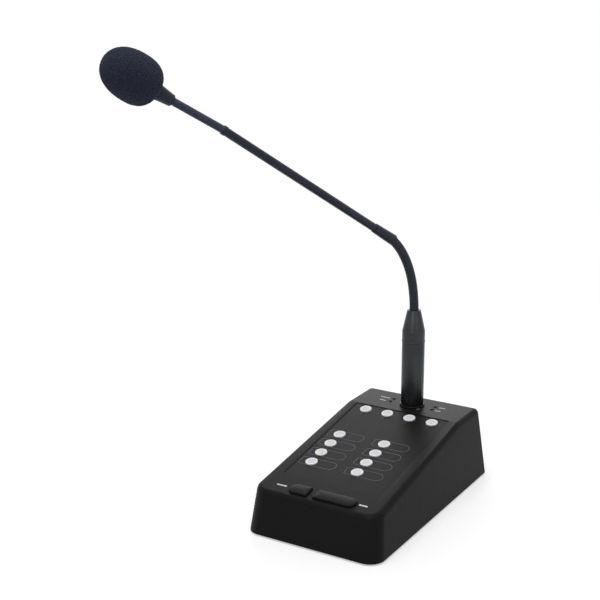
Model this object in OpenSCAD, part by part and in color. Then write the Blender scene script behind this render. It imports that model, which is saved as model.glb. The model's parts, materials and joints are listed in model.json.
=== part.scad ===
// Desk paging microphone: a wedge-shaped base with round buttons and two press keys, and a plug-in
// gooseneck microphone on its rear deck. Millimetres, +Z up, the desk at z = 0, the operator at -Y.

/* [Base shell] */
// Width of the shell at its lower rim
base_w = 123.2; // [110:0.2:150]
// Depth of the shell at its lower rim
base_d = 213.5; // [190:0.5:240]
// Height of the rear deck above the lower rim
shell_h = 63; // [58:0.5:72]
// Height of the front edge above the lower rim
front_h = 37; // [32:0.5:44]
// Length of the flat deck from front to rear
deck_l = 42.6; // [36:0.2:46]
// Inward lean of the side walls, degrees
side_slant = 5.4; // [2:0.1:8]
// Inward lean of the front wall, degrees
front_slant = 10.5; // [5:0.5:14]
// Inward lean of the rear wall, degrees
rear_slant = 6.2; // [3:0.1:8]
// Plan radius of the two front corners
corner_r = 13.5; // [10:0.5:20]
// Plan radius of the two rear corners
rear_corner_r = 3.5; // [3.5:0.5:8]
// Rounding of the top edges
edge_r = 5; // [2:0.5:6]
// Rounding inside the shell
inner_edge_r = 1.5; // [0.5:0.5:2.5]
// Wall thickness of the shell
wall = 2.5; // [2:0.1:3]
// Height of the shell's rim above the desk
rim_gap = 1.5; // [0.5:0.1:3]

/* [Panel] */
// Distance of the recess from the sides of the deck
panel_side = 9.95; // [7:0.05:10.6]
// Distance between the recess and the keys
panel_key_gap = 12.4; // [10:0.1:18]
// Distance of the recess from the deck's front edge
panel_start = 0.8; // [0.4:0.1:1.6]
// Corner radius of the recess
panel_corner_r = 1.5; // [0.5:0.1:3]
// Depth of the recess
recess_depth = 0.9; // [0.7:0.1:1.3]
// Thickness of the overlay sheet
overlay_t = 0.6; // [0.3:0.1:0.6]
// Gap round the overlay's edge
overlay_gap = 0.35; // [0.2:0.05:0.6]

/* [Buttons] */
// Diameter of the round caps
button_d = 10.6; // [9:0.1:11.5]
// Height of the caps above the slope
button_proud = 0.5; // [0.4:0.1:2]
// Travel of the round caps
button_travel = 0.8; // [0.4:0.1:1.2]
// Diameter of the dish in each cap
dish_d = 6.8; // [4:0.1:8]
// Depth of the dish in each cap
dish_depth = 0.35; // [0.2:0.05:0.6]
// Spacing of the four caps in the rear row
select_pitch = 21.8; // [20:0.1:22.5]
// Distance of the rear row from the deck's front edge
select_v = 8.8; // [8:0.1:12]
// Distance of the last zone row from the front edge of the recess
zone_front = 23.9; // [21:0.1:30]
// Spacing of the zone rows
zone_pitch = 16.1; // [15:0.1:17]
// Diameter of the small lamp window by each zone cap
pipe_d = 1.8; // [1.4:0.1:2.2]
// Sideways distance of the lamp window from its cap
pipe_du = -7.2; // [-8:0.1:-7]
// Distance of the lamp window down the slope from its cap
pipe_dv = 4.1; // [3:0.1:5]

/* [Keys] */
// Distance of the key row from the slope's front edge
key_front = 11.5; // [10.8:0.1:16]
// Size of the keys down the slope
key_h = 12.4; // [11:0.1:13]
// Sideways place of the row's left end
key_left = -28.1; // [-34:0.1:-26]
// Length of the short key
chime_l = 18.4; // [15:0.1:22]
// Length of the long key
talk_l = 37.2; // [32:0.1:38]
// Space between the two keys
key_gap = 5.9; // [4:0.1:7]
// Height of the keys above the slope
key_proud = 2; // [1.2:0.1:3]
// Travel of the keys
key_travel = 1.5; // [0.8:0.1:2]

/* [Inside the base] */
// Depth of the main board below the slope
board_depth = 10; // [9.5:0.1:12]
// Thickness of the circuit boards
board_t = 1.6; // [1:0.1:2]
// Distance of the main board from the shell's inner sides
board_side = 6.1; // [5:0.1:8]
// Distance of the main board's rear edge from the deck's front edge
board_start = 3; // [2:0.5:4]
// Reach of the main board past the middle of the key row
board_front = 7.2; // [5.5:0.1:9]
// Side of the small push switches
switch_w = 6; // [5:0.5:7]
// Height of the small push switches
switch_h = 3.5; // [3:0.1:4]
// Side of the key switches
key_switch_w = 10; // [9:0.5:11]
// Height of the key switches
key_switch_h = 4; // [3.6:0.1:4.4]
// Thickness of the base plate
plate_t = 1.5; // [1:0.1:2.5]
// Depth of the base plate inside the rim
plate_inset = 0.5; // [0.2:0.1:1]
// Diameter of the rubber feet
foot_d = 14; // [10:0.5:18]
// Distance of the feet's middle from the sides of the rim
foot_side = 23.5; // [21.5:0.5:28]
// Distance of the feet's middle from the front and rear of the rim
foot_end = 21; // [19:0.5:30]
// Distance of the screw columns from the sides of the rim
column_side = 10.5; // [9.5:0.1:10.8]
// Distance of the front columns from the front of the rim
column_front = 43; // [35:1:49]
// Distance of the rear columns from the rear of the rim
column_rear = 19; // [17:0.5:23]

/* [Connector side] */
// Width of the opening in the rear wall
window_w = 84; // [80:1:86]
// Height of the opening in the rear wall
window_h = 23; // [21:0.5:25]
// Height of the opening above the rim
window_z = 4; // [3:0.5:5]
// Height of the standoffs under the connector board
standoff_h = 4; // [3:0.5:5]
// Width of a link socket
link_w = 16; // [15:0.5:17]
// Height of a link socket
link_h = 13.5; // [12.5:0.5:14.5]
// Depth of a link socket
link_d = 16; // [14:0.5:18]
// Width of the plug opening in a link socket
link_mouth_w = 11.9; // [11.7:0.1:12.5]
// Height of the plug opening in a link socket
link_mouth_h = 8.2; // [8:0.1:9]
// Sideways place of the first link socket
link_x = -20; // [-22:0.5:-18]
// Spacing of the two link sockets
link_pitch = 20; // [18:0.5:22]
// Sideways place of the supply socket
power_x = 22; // [20:0.5:24]
// Width of the supply socket
power_w = 9; // [9:0.5:11]
// Bore of the supply socket
power_bore_d = 6.2; // [5.5:0.1:6.5]
// Pin of the supply socket
power_pin_d = 2; // [1.5:0.1:2.5]

/* [Lamps] */
// Diameter of the deck lamps
led_d = 3; // [2:0.1:4]
// Sideways distance of the deck lamps from the mast
led_x = 20.7; // [19:0.1:23]
// Spacing of the deck lamps from front to rear
led_dy = 7; // [6:0.1:8]
// Distance of the lamps' middle behind the mast
led_back = 1.6; // [0:0.1:3]
// Height of a lamp's dome above the deck
led_proud = 0.8; // [0.4:0.1:1.2]
// Distance of the lamp board below the deck
led_drop = 8; // [7:0.5:10]

/* [Mast] */
// Distance of the mast's axis from the deck's rear edge
mast_back = 23.9; // [18:0.1:25]
// Diameter of the mast
mast_d = 20.4; // [19:0.1:22]
// Length of the mast tube
mast_l = 58.2; // [50:0.2:70]
// Wall of the mast tube
mast_wall = 1.5; // [1.2:0.1:1.8]
// Diameter of the socket's flange on the deck
flange_d = 22.4; // [22:0.1:23]
// Height of the socket's flange above the deck
flange_h = 1.8; // [1.2:0.1:3]
// Diameter of the raised ring at the seam under the cone
seam_d = 21; // [20.6:0.1:21.6]
// Height of the raised ring
seam_h = 1.2; // [0.8:0.1:2]
// Length of the straight part above the ring
shoulder_l = 8.9; // [6:0.1:12]
// Length of the cone
cone_l = 19.4; // [14:0.1:22]
// Diameter of the cone's upper end
cone_top_d = 11.8; // [10.5:0.1:13]
// Outer diameter of the plug's shell
plug_d = 16; // [15.6:0.1:16.2]
// Wall of the plug's shell
plug_wall = 0.8; // [0.6:0.1:1]
// Depth to which the plug goes into the socket
plug_l = 14; // [12:0.5:16]
// Diameter of the plug's pins
pin_d = 2.4; // [2:0.1:2.6]
// Radius of the circle of pins
pin_circle_r = 4.2; // [3.8:0.1:4.4]

/* [Neck] */
// Turn of the neck's lean from straight ahead towards the left, degrees
lean_turn = 25; // [0:1:40]
// Diameter of the lower flexible length
lower_d = 8.1; // [7.6:0.1:8.6]
// Length of one link of the lower flexible length
lower_link = 11.9; // [10:0.1:15]
// Lean of the first lower link, degrees
first_lean = 4; // [2:0.5:5]
// Growth of the lean from link to link, degrees
lean_growth = 1.2; // [0.5:0.1:1.3]
// Lean of the stiff tube from upright, degrees
boom_lean = 56.9; // [50:0.1:60]
// Visible length of the stiff tube
boom_l = 176; // [150:0.2:200]
// Diameter of the stiff tube
boom_d = 7; // [6.4:0.1:7.6]
// Length of the ferrule below the stiff tube
ferrule_l = 24.2; // [20:0.2:28]
// Diameter of the ferrule's lower end
ferrule_low_d = 9.6; // [9:0.1:10]
// Diameter of the ferrule's upper end
ferrule_top_d = 8.2; // [7.8:0.1:8.8]
// Diameter of the upper flexible length
upper_d = 6.3; // [5.8:0.1:6.6]
// Length of one link of the upper flexible length
upper_link = 12.1; // [10:0.1:14]
// Lean of the upper flexible length, degrees
upper_lean = 60; // [55:0.5:62]
// Lean of the head, degrees
head_lean = 58; // [55:0.5:62]
// Spacing of the ribs of the wound hose
rib_pitch = 1.25; // [1:0.05:2]
// Depth of the ribs of the wound hose
rib_depth = 0.3; // [0.1:0.05:0.4]
// Largest turn of one link from its neighbour, degrees
link_turn = 17.5; // [16:0.5:20]
// Largest turn at the ferrule, degrees
ferrule_turn = 23; // [22:0.5:26]

/* [Head] */
// Length of the cone behind the windscreen
adapter_l = 13; // [10:0.5:18]
// Diameter of the cone at the neck
adapter_low_d = 9.7; // [8.5:0.1:10.5]
// Diameter of the cone at the windscreen
adapter_top_d = 12.4; // [11:0.1:13]
// Diameter of the capsule barrel
barrel_d = 12; // [11.6:0.1:13]
// Length of the capsule barrel
barrel_l = 23; // [20:0.5:26]
// Diameter of the microphone capsule
capsule_d = 9.7; // [9:0.1:9.8]
// Length of the windscreen
screen_l = 47.2; // [44:0.1:54]
// Length of the windscreen's half towards the neck, up to its widest ring
screen_low_l = 20.5; // [18:0.1:24]
// Diameter of the windscreen
screen_d = 37.8; // [32:0.1:44]
// Fullness of the outline beyond the widest ring: 2 is an ellipse, more is squarer
screen_bulge = 2.2; // [2:0.05:2.8]
// Fullness of the outline towards the neck
screen_low_bulge = 2.6; // [2:0.05:3]
// Distance of the windscreen's lower end from the neck's end
screen_start = 14.9; // [13.5:0.1:17]

/* [Hidden] */
$fn = 48;
// Running clearance between moving pieces
gap = 0.3;
// Close clearance between pieces that seat in each other
slip = 0.15;
// Overlap that carries a cut past a face
over = 1;
// Thickness of the flanges that hold caps and keys in the shell
lip_t = 1;
// Overhang of those flanges
lip = 0.9;
// Diameter of the stems under caps and keys
stem_d = 3.5;
// Thickness of the floor in a push switch
switch_floor = 1;
// Diameters of screw shafts, heads, bosses and columns
screw_d = 2.4;
screw_head_d = 5;
screw_head_h = 1.3;
boss_d = 6;
column_d = 7;
// Depths to which screws go into the shell and the standoffs
screw_bite = 8;
board_bite = 5;
// Depth of a screw hole beyond the screw's tip
hole_spare = 1;
// Distance of a board's screws from its edge
boss_inset = 4;

// Heights and places of the shell
deck_z = rim_gap + shell_h;
front_y = -base_d / 2;
rear_y = base_d / 2;
crease_y = front_y + front_h * tan(front_slant);
rear_top_y = rear_y - shell_h * tan(rear_slant);
kink_y = rear_top_y - deck_l;
slope = atan((shell_h - front_h) / (kink_y - crease_y));
slope_l = (kink_y - crease_y) / cos(slope);
mast_y = rear_top_y - mast_back;
plate_z = rim_gap + plate_inset;
plate_top = plate_z + plate_t;

// Half width of the shell at a height above its rim
function half_w(z) = base_w / 2 - z * tan(side_slant);

// Height of the outer slope above the desk at a place y
function slope_z(y) = deck_z - (kink_y - y) * tan(slope);

// Corner of the shell's profile, moved inwards by o from both faces that meet there
function front_corner(o) =
    let (k = tan(front_slant), s = tan(slope),
         z = (front_h + o / cos(front_slant) * s + (front_y - crease_y) * s - o / cos(slope))
             / (1 - k * s))
    [front_y + z * k + o / cos(front_slant), z];
function kink_corner(o) = [kink_y - o * (1 / cos(slope) - 1) / tan(slope), shell_h - o];
function rear_corner(o) = [rear_y - (shell_h - o) * tan(rear_slant) - o / cos(rear_slant), shell_h - o];

// Rows down the slope from the deck's front edge, and the pieces that keep to them
key_v = slope_l - key_front;
panel_w = 2 * (half_w(shell_h) - panel_side);
panel_l = key_v - key_h / 2 - panel_key_gap - panel_start;
zone_v = panel_start + panel_l - zone_front - 3 * zone_pitch;
board_w = 2 * (half_w(shell_h) - wall - board_side);
board_l = key_v + board_front - board_start;
boss_u = board_w / 2 - boss_inset;
boss_v = [(select_v + zone_v) / 2, (zone_v + 3 * zone_pitch + key_v) / 2];
foot_dx = base_w - 2 * foot_side;
foot_dy = base_d - 2 * foot_end;
column_x = base_w / 2 - column_side;

// Places of the buttons on the slope: sideways, and down the slope
function select_at(i) = [(i - 1.5) * select_pitch, select_v];
function zone_at(i) = [select_at(i < 4 ? 0 : 2)[0], zone_v + (i % 4) * zone_pitch];
BUTTONS = concat([for (i = [0 : 3]) select_at(i)], [for (i = [0 : 7]) zone_at(i)]);
function pipe_at(i) = [zone_at(i)[0] + pipe_du, zone_at(i)[1] + pipe_dv];
chime_x = key_left;
talk_x = key_left + chime_l + key_gap;
COLUMNS = [for (sx = [-1, 1], y = [front_y + column_front, rear_y - column_rear]) [sx * column_x, y]];
LEDS = [for (sx = [-1, 1], sy = [-0.5, 0.5]) [sx * led_x, mast_y + led_back + sy * led_dy]];

// Connector side: the plate's flange covers the opening and its margin
stand_margin = 3;
stand_w = window_w + 2 * stand_margin;
stand_top = rim_gap + window_z + window_h + stand_margin;
stand_y = rear_y - (stand_top - rim_gap) * tan(rear_slant) - wall / cos(rear_slant) - gap;
io_z = plate_top + standoff_h;
io_top = io_z + board_t;
io_rear = stand_y - plate_t - gap;
io_l = 27;
io_front = io_rear - io_l;
io_w = 72;
io_inset = 3;
io_screw_x = io_w / 2 - io_inset;
IO_SCREWS = [for (x = [-io_screw_x, io_screw_x], y = [io_front + io_inset, io_rear - io_inset]) [x, y]];
link_proud = 0.5;
link_face = stand_y + link_proud;
link_floor = 1.6;
link_back = 3;
link_mouth_d = link_d - link_back;
LINKS = [link_x, link_x + link_pitch];
power_d = 14;
power_h = 11;
power_rise = 6;
power_z = io_top + power_rise;

// Mast and socket
well_r = plug_d / 2 + gap;
core_r = plug_d / 2 - plug_wall - gap;
socket_wall = 1.4;
socket_spare = 8;
socket_r = well_r + socket_wall;
socket_l = plug_l + socket_spare;
flange_top = deck_z + flange_h;
mast_z = flange_top + gap;
mast_in_r = mast_d / 2 - mast_wall;
plug_body_h = 8;
seam_z = mast_z + mast_l;
cone_z = seam_z + seam_h + shoulder_l;
cone_top_z = cone_z + cone_l;
PIN_ANGLES = [90, 210, 330];
latch_turn = -40;
latch_back = 1.3;
latch_r = flange_d / 2 + latch_back;
latch_w = 3.2;
latch_t = 1.6;
latch_proud = 0.9;
latch_travel = 1;
nut_d = 22.4;
nut_h = 3;
led_board_z = deck_z - led_drop;
led_board_w = 60;
led_board_d = 24;
LED_SCREWS = [for (sx = [-1, 1]) [sx * (led_board_w / 2 - boss_inset), mast_y + led_back]];

// Neck: balls, bores and the centres about which the links turn, in the plane of the lean
lower_cup = 0.9;
upper_cup = 0.8;
lower_ball_r = lower_d / 2 - lower_cup;
upper_ball_r = upper_d / 2 - upper_cup;
lower_bore_r = 1.6;
upper_bore_r = 1.1;
lower_count = 6;
upper_count = 4;
rim_h = 0.4;
neck_z = cone_top_z + lower_d / 2 * tan(link_turn) + slip;
function lean(i) = first_lean * i + lean_growth * i * (i - 1) / 2;
function along(a) = [0, -sin(a), cos(a)];
function lower_end(i) = i == 0 ? [0, 0, neck_z] : lower_end(i - 1) + lower_link * along(lean(i));
boom_start = lower_end(lower_count);
boom_end = boom_start + (ferrule_l + boom_l) * along(boom_lean);
function upper_end(i) = boom_end + i * upper_link * along(upper_lean);
head_start = upper_end(upper_count);
tube_inset = 14;
tube_wall = 0.9;
tube_end_l = 10;
ring_l = 3;
ring_wall = 0.3;
ring_back = 0.4;

// Head
grille_t = 1.2;
barrel_wall = 0.8;
barrel_in_r = barrel_d / 2 - barrel_wall;
capsule_set = 9.4;
capsule_l = 6.5;
ledge_z = adapter_l + barrel_l - capsule_set;
SCREEN_STEPS = 26;

BASE_NODES = ["housing", "overlay", "base_plate", "rubber_feet", "base_screws", "chime_key", "talk_key",
    "main_board", "button_switches", "key_switches", "zone_leds", "status_leds", "led_board",
    "board_screws", "io_board", "link_sockets", "power_socket", "mic_socket", "socket_insert",
    "socket_nut", "latch_tab"];
MAST_NODES = ["mast_tube", "plug_shell", "plug_pins", "preamp_board", "mast_cone", "neck_ferrule",
    "boom_tube", "boom_ring", "head_adapter", "capsule_barrel", "capsule", "capsule_grille", "windscreen"];

// Places children on the slope: x sideways, -y down the slope, z out of the surface
module on_slope() {
    translate([0, kink_y, deck_z]) rotate([slope, 0, 0]) children();
}

// Places children at a point on the slope
module at_panel(p) {
    on_slope() translate([p[0], -p[1], 0]) children();
}

// Places children in the upright plane of the neck's lean, with z up the mast
module in_lean_plane() {
    translate([0, mast_y, 0]) rotate([0, 0, -lean_turn]) children();
}

// Places children on a neck piece that starts at a point and leans by an angle
module on_neck(start, angle) {
    in_lean_plane() translate(start) rotate([angle, 0, 0]) children();
}

// Rectangle with round corners, centred
module round_rect(w, l, r) {
    square([w - 2 * r, l], center = true);
    square([w, l - 2 * r], center = true);
    for (sx = [-1, 1], sy = [-1, 1]) translate([sx * (w / 2 - r), sy * (l / 2 - r)]) circle(r);
}

// Smooth wedge of the shell, with its faces moved inwards by o and its top edges rounded by r
module wedge(o, r, low) {
    f = front_corner(o + r);
    k = kink_corner(o + r);
    b = rear_corner(o + r);
    ring_r = max(corner_r - o - r, 0.5);
    skin = (o + r) / cos(side_slant);
    translate([0, 0, rim_gap]) hull() {
        for (sx = [-1, 1]) {
            translate([sx * (half_w(0) - corner_r), front_y + corner_r, low])
                cylinder(r = corner_r - o, h = 0.01, $fn = 48);
            translate([sx * (half_w(0) - rear_corner_r), rear_y - rear_corner_r, low])
                cylinder(r = rear_corner_r - o, h = 0.01, $fn = 32);
            translate([sx * (half_w(f[1]) - skin - ring_r), f[0], f[1]]) rotate([slope, 0, 0])
                translate([0, ring_r, 0]) rotate_extrude($fn = 48) translate([ring_r, 0]) circle(r, $fn = 24);
            translate([sx * (half_w(k[1]) - skin), k[0], k[1]]) sphere(r, $fn = 24);
            translate([sx * (half_w(b[1]) - skin), b[0], b[1]]) sphere(r, $fn = 24);
        }
    }
}

// Outline of a key: straight at its inner end, round at its outer end (side -1 left, 1 right)
module key_outline(x, l, side, grow) {
    r = key_h / 2;
    round_x = side < 0 ? x + r : x + l - r;
    translate([round_x, 0]) circle(r + grow);
    translate([side < 0 ? round_x : x - grow, -r - grow]) square([l - r + grow, key_h + 2 * grow]);
}

// Press key with a holding flange and a stem into its switch
module key(x, l, side) {
    low = -wall - slip - lip_t;
    tip = -board_depth + switch_floor + key_travel + gap;
    at_panel([0, key_v]) {
        translate([0, 0, low]) linear_extrude(lip_t) key_outline(x, l, side, lip);
        translate([0, 0, low]) linear_extrude(key_proud - low) key_outline(x, l, side, 0);
        translate([x + l / 2, 0, tip]) cylinder(d = stem_d, h = low - tip + over / 2);
    }
}

// Round cap with a dish, a holding flange and a stem into its switch
module button(p) {
    low = -wall - slip - lip_t;
    tip = -board_depth + switch_floor + button_travel + gap;
    color("whitesmoke") at_panel(p) difference() {
        union() {
            translate([0, 0, low]) cylinder(d = button_d, h = button_proud - low);
            translate([0, 0, low]) cylinder(d = button_d + 2 * lip, h = lip_t);
            translate([0, 0, tip]) cylinder(d = stem_d, h = low - tip + over / 2);
        }
        translate([0, 0, button_proud - dish_depth]) cylinder(d = dish_d, h = dish_depth + over);
    }
}

// Push switch on the main board, with a well for a stem
module push_switch(w, h) {
    translate([0, 0, -board_depth]) difference() {
        translate([-w / 2, -w / 2, 0]) cube([w, w, h]);
        translate([0, 0, switch_floor]) cylinder(d = stem_d + 2 * gap, h = h);
    }
}

// Screw with its head below z = 0 and its shaft upwards
module screw(l) {
    translate([0, 0, -screw_head_h]) cylinder(d = screw_head_d, h = screw_head_h);
    cylinder(d = screw_d, h = l);
}

// Window for the connectors, cut straight through the rear wall
module rear_window() {
    translate([-window_w / 2, stand_y - over, rim_gap + window_z]) cube([window_w, base_d / 4, window_h]);
}

// Screw columns and board bosses inside the shell
module shell_posts() {
    pilot = screw_d + 2 * slip;
    for (c = COLUMNS) {
        top = min(slope_z(c[1]), deck_z) - wall / 2;
        translate([c[0], c[1], plate_top]) difference() {
            cylinder(d = column_d, h = top - plate_top);
            translate([0, 0, -over]) cylinder(d = pilot, h = screw_bite + hole_spare + over);
        }
    }
    for (sx = [-1, 1], v = boss_v) at_panel([sx * boss_u, v]) difference() {
        translate([0, 0, -board_depth]) cylinder(d = boss_d, h = board_depth - wall / 2);
        translate([0, 0, -board_depth - over]) cylinder(d = pilot, h = board_bite + hole_spare + over);
    }
    for (p = LED_SCREWS) translate([p[0], p[1], led_board_z]) difference() {
        cylinder(d = boss_d, h = led_drop - wall / 2);
        translate([0, 0, -over]) cylinder(d = pilot, h = board_bite + over);
    }
}

module housing() {
    color("#2c2c2d") difference() {
        union() {
            difference() {
                wedge(0, edge_r, 0);
                wedge(wall, inner_edge_r, -over);
            }
            shell_posts();
        }
        on_slope() translate([0, -panel_start - panel_l / 2, -recess_depth])
            linear_extrude(over + recess_depth) round_rect(panel_w, panel_l, panel_corner_r);
        for (p = BUTTONS) at_panel(p)
            translate([0, 0, -wall - over]) cylinder(d = button_d + 2 * gap, h = wall + 2 * over);
        for (i = [0 : 7]) at_panel(pipe_at(i))
            translate([0, 0, -wall - over]) cylinder(d = pipe_d + 2 * gap, h = wall + 2 * over);
        at_panel([0, key_v]) translate([0, 0, -wall - over]) linear_extrude(wall + 2 * over) {
            key_outline(chime_x, chime_l, -1, gap);
            key_outline(talk_x, talk_l, 1, gap);
        }
        for (p = LEDS) translate([p[0], p[1], deck_z - wall - over])
            cylinder(d = led_d + 2 * gap, h = wall + 2 * over);
        translate([0, mast_y, deck_z - wall - over]) cylinder(r = socket_r + gap, h = wall + 2 * over);
        at_latch() translate([0, 0, -wall - over / 2])
            cube_on(latch_t + 2 * gap, latch_w + 2 * gap, wall + over);
        rear_window();
    }
}

// Block that stands on z = 0, centred sideways
module cube_on(w, d, h) {
    translate([-w / 2, -d / 2, 0]) cube([w, d, h]);
}

module overlay() {
    color("#3a3a3c") on_slope() difference() {
        translate([0, -panel_start - panel_l / 2, -recess_depth]) linear_extrude(overlay_t)
            round_rect(panel_w - 2 * overlay_gap, panel_l - 2 * overlay_gap, panel_corner_r);
        for (p = BUTTONS) translate([p[0], -p[1], -recess_depth - over])
            cylinder(d = button_d + 4 * gap, h = overlay_t + 2 * over);
        for (i = [0 : 7]) translate([pipe_at(i)[0], -pipe_at(i)[1], -recess_depth - over])
            cylinder(d = pipe_d + 2 * gap, h = overlay_t + 2 * over);
    }
}

// Outline of the base plate: round front corners, small rear corners
module plate_outline() {
    inset = wall + gap + plate_inset * tan(front_slant);
    r = corner_r - inset;
    hw = base_w / 2 - inset - plate_top * tan(side_slant);
    front = front_y + inset + plate_top * tan(front_slant);
    rear = rear_y - wall - gap - plate_top * tan(rear_slant);
    translate([-hw, front + r]) square([2 * hw, rear - front - r]);
    translate([-hw + r, front]) square([2 * (hw - r), r + over]);
    for (sx = [-1, 1]) translate([sx * (hw - r), front + r]) circle(r);
}

module base_plate() {
    stand_h = stand_top - plate_z;
    color("#1d1d1e") difference() {
        union() {
            translate([0, 0, plate_z]) linear_extrude(plate_t) plate_outline();
            translate([-stand_w / 2, stand_y - plate_t, plate_z]) cube([stand_w, plate_t, stand_h]);
            for (p = IO_SCREWS) translate([p[0], p[1], plate_top - over / 2])
                cylinder(d = boss_d, h = standoff_h + over / 2);
        }
        for (c = COLUMNS) translate([c[0], c[1], plate_z - over])
            cylinder(d = screw_d + 2 * gap, h = plate_t + 2 * over);
        for (p = IO_SCREWS) translate([p[0], p[1], plate_z - over])
            cylinder(d = screw_d + 2 * slip, h = plate_t + standoff_h + 2 * over);
        for (x = LINKS) translate([x - link_w / 2 - gap, stand_y - plate_t - over, io_top - gap])
            cube([link_w + 2 * gap, plate_t + 2 * over, link_h + 2 * gap]);
        translate([power_x - power_w / 2 - gap, stand_y - plate_t - over, io_top - gap])
            cube([power_w + 2 * gap, plate_t + 2 * over, power_h + 2 * gap]);
    }
}

module rubber_feet() {
    color("#161616") for (sx = [-0.5, 0.5], sy = [-0.5, 0.5])
        translate([sx * foot_dx, sy * foot_dy, 0]) cylinder(d = foot_d, h = plate_z);
}

module base_screws() {
    color("silver") for (c = COLUMNS) translate([c[0], c[1], plate_z]) screw(plate_t + screw_bite);
}

module main_board() {
    color("#1f5a35") on_slope() difference() {
        translate([-board_w / 2, -board_start - board_l, -board_depth - board_t])
            cube([board_w, board_l, board_t]);
        for (sx = [-1, 1], v = boss_v) translate([sx * boss_u, -v, -board_depth - board_t - over])
            cylinder(d = screw_d + 2 * slip, h = board_t + 2 * over);
    }
}

module button_switches() {
    color("#222222") for (p = BUTTONS) at_panel(p) push_switch(switch_w, switch_h);
}

module key_switches() {
    color("#222222") {
        at_panel([chime_x + chime_l / 2, key_v]) push_switch(key_switch_w, key_switch_h);
        at_panel([talk_x + talk_l / 2, key_v]) push_switch(key_switch_w, key_switch_h);
    }
}

module zone_leds() {
    top = overlay_t - recess_depth;
    color("#3a1512") for (i = [0 : 7]) at_panel(pipe_at(i))
        translate([0, 0, -board_depth]) cylinder(d = pipe_d, h = board_depth + top);
}

module status_leds() {
    r = led_d / 2;
    rim = 0.4;
    rim_t = 1;
    color("#4a1714") for (p = LEDS) translate([p[0], p[1], 0]) {
        translate([0, 0, led_board_z]) cylinder(r = r + rim, h = rim_t);
        translate([0, 0, led_board_z]) cylinder(r = r, h = led_drop + led_proud - r);
        translate([0, 0, deck_z + led_proud - r]) sphere(r);
    }
}

module led_board() {
    socket_gap = 1.5;
    color("#1f5a35") translate([0, 0, led_board_z - board_t]) difference() {
        translate([0, mast_y + led_back, 0]) cube_on(led_board_w, led_board_d, board_t);
        translate([0, mast_y, -over]) cylinder(r = socket_r + socket_gap, h = board_t + 2 * over);
        for (p = LED_SCREWS) translate([p[0], p[1], -over])
            cylinder(d = screw_d + 2 * slip, h = board_t + 2 * over);
    }
}

module board_screws() {
    color("silver") {
        for (sx = [-1, 1], v = boss_v) at_panel([sx * boss_u, v])
            translate([0, 0, -board_depth - board_t]) screw(board_t + board_bite);
        for (p = LED_SCREWS) translate([p[0], p[1], led_board_z - board_t])
            screw(board_t + board_bite - over);
        for (p = IO_SCREWS) translate([p[0], p[1], io_top]) rotate([180, 0, 0])
            screw(board_t + standoff_h - over);
    }
}

module io_board() {
    color("#1f5a35") difference() {
        translate([-io_w / 2, io_front, io_z]) cube([io_w, io_rear - io_front, board_t]);
        for (p = IO_SCREWS) translate([p[0], p[1], io_z - over])
            cylinder(d = screw_d + 2 * slip, h = board_t + 2 * over);
    }
}

module link_sockets() {
    latch_slot_w = 6;
    latch_slot_h = 2;
    color("#151515") for (x = LINKS) translate([x, link_face, io_top]) difference() {
        translate([-link_w / 2, -link_d, 0]) cube([link_w, link_d, link_h]);
        translate([-link_mouth_w / 2, -link_mouth_d, link_floor])
            cube([link_mouth_w, link_mouth_d + over, link_mouth_h]);
        translate([-latch_slot_w / 2, -link_mouth_d, link_floor])
            cube([latch_slot_w, link_mouth_d + over, link_mouth_h + latch_slot_h]);
    }
}

module power_socket() {
    bore_l = 9.5;
    color("#151515") translate([power_x, link_face, 0]) {
        difference() {
            translate([-power_w / 2, -power_d, io_top]) cube([power_w, power_d, power_h]);
            translate([0, -bore_l, power_z]) rotate([-90, 0, 0])
                cylinder(d = power_bore_d, h = bore_l + over);
        }
        translate([0, -bore_l - over, power_z]) rotate([-90, 0, 0])
            cylinder(d = power_pin_d, h = bore_l);
    }
}

module mic_socket() {
    floor_t = 2;
    color("#1b1b1c") translate([0, mast_y, deck_z]) difference() {
        union() {
            cylinder(d = flange_d, h = flange_h);
            translate([0, 0, -socket_l - floor_t]) cylinder(r = socket_r, h = socket_l + floor_t + over / 2);
        }
        translate([0, 0, -socket_l]) cylinder(r = well_r, h = socket_l + flange_h + over);
    }
}

module socket_insert() {
    color("#0f0f10") translate([0, mast_y, deck_z - socket_l]) difference() {
        cylinder(r = core_r, h = socket_l + flange_h - gap);
        for (a = PIN_ANGLES) rotate([0, 0, a]) translate([pin_circle_r, 0, socket_l - plug_l])
            cylinder(d = pin_d + 2 * gap, h = plug_l + flange_h + over);
    }
}

module socket_nut() {
    color("silver") translate([0, mast_y, deck_z - wall - slip / 2 - nut_h]) difference() {
        cylinder(d = nut_d, h = nut_h);
        translate([0, 0, -over]) cylinder(r = socket_r + slip / 2, h = nut_h + 2 * over);
    }
}

// Places children at the latch tab: x away from the mast, z = 0 at the deck
module at_latch() {
    translate([0, mast_y, deck_z]) rotate([0, 0, latch_turn])
        translate([latch_r + latch_t / 2, 0, 0]) children();
}

module latch_tab() {
    low = -wall - slip - lip_t;
    color("#8d8f92") at_latch() {
        translate([0, 0, low]) cube_on(latch_t, latch_w, latch_proud - low);
        translate([0, 0, low]) cube_on(latch_t, latch_w + 2 * lip, lip_t);
    }
}

module mast_tube() {
    color("#2b2d2f") translate([0, mast_y, mast_z]) difference() {
        cylinder(d = mast_d, h = mast_l);
        translate([0, 0, -over]) cylinder(r = mast_in_r, h = mast_l + 2 * over);
    }
}

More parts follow.
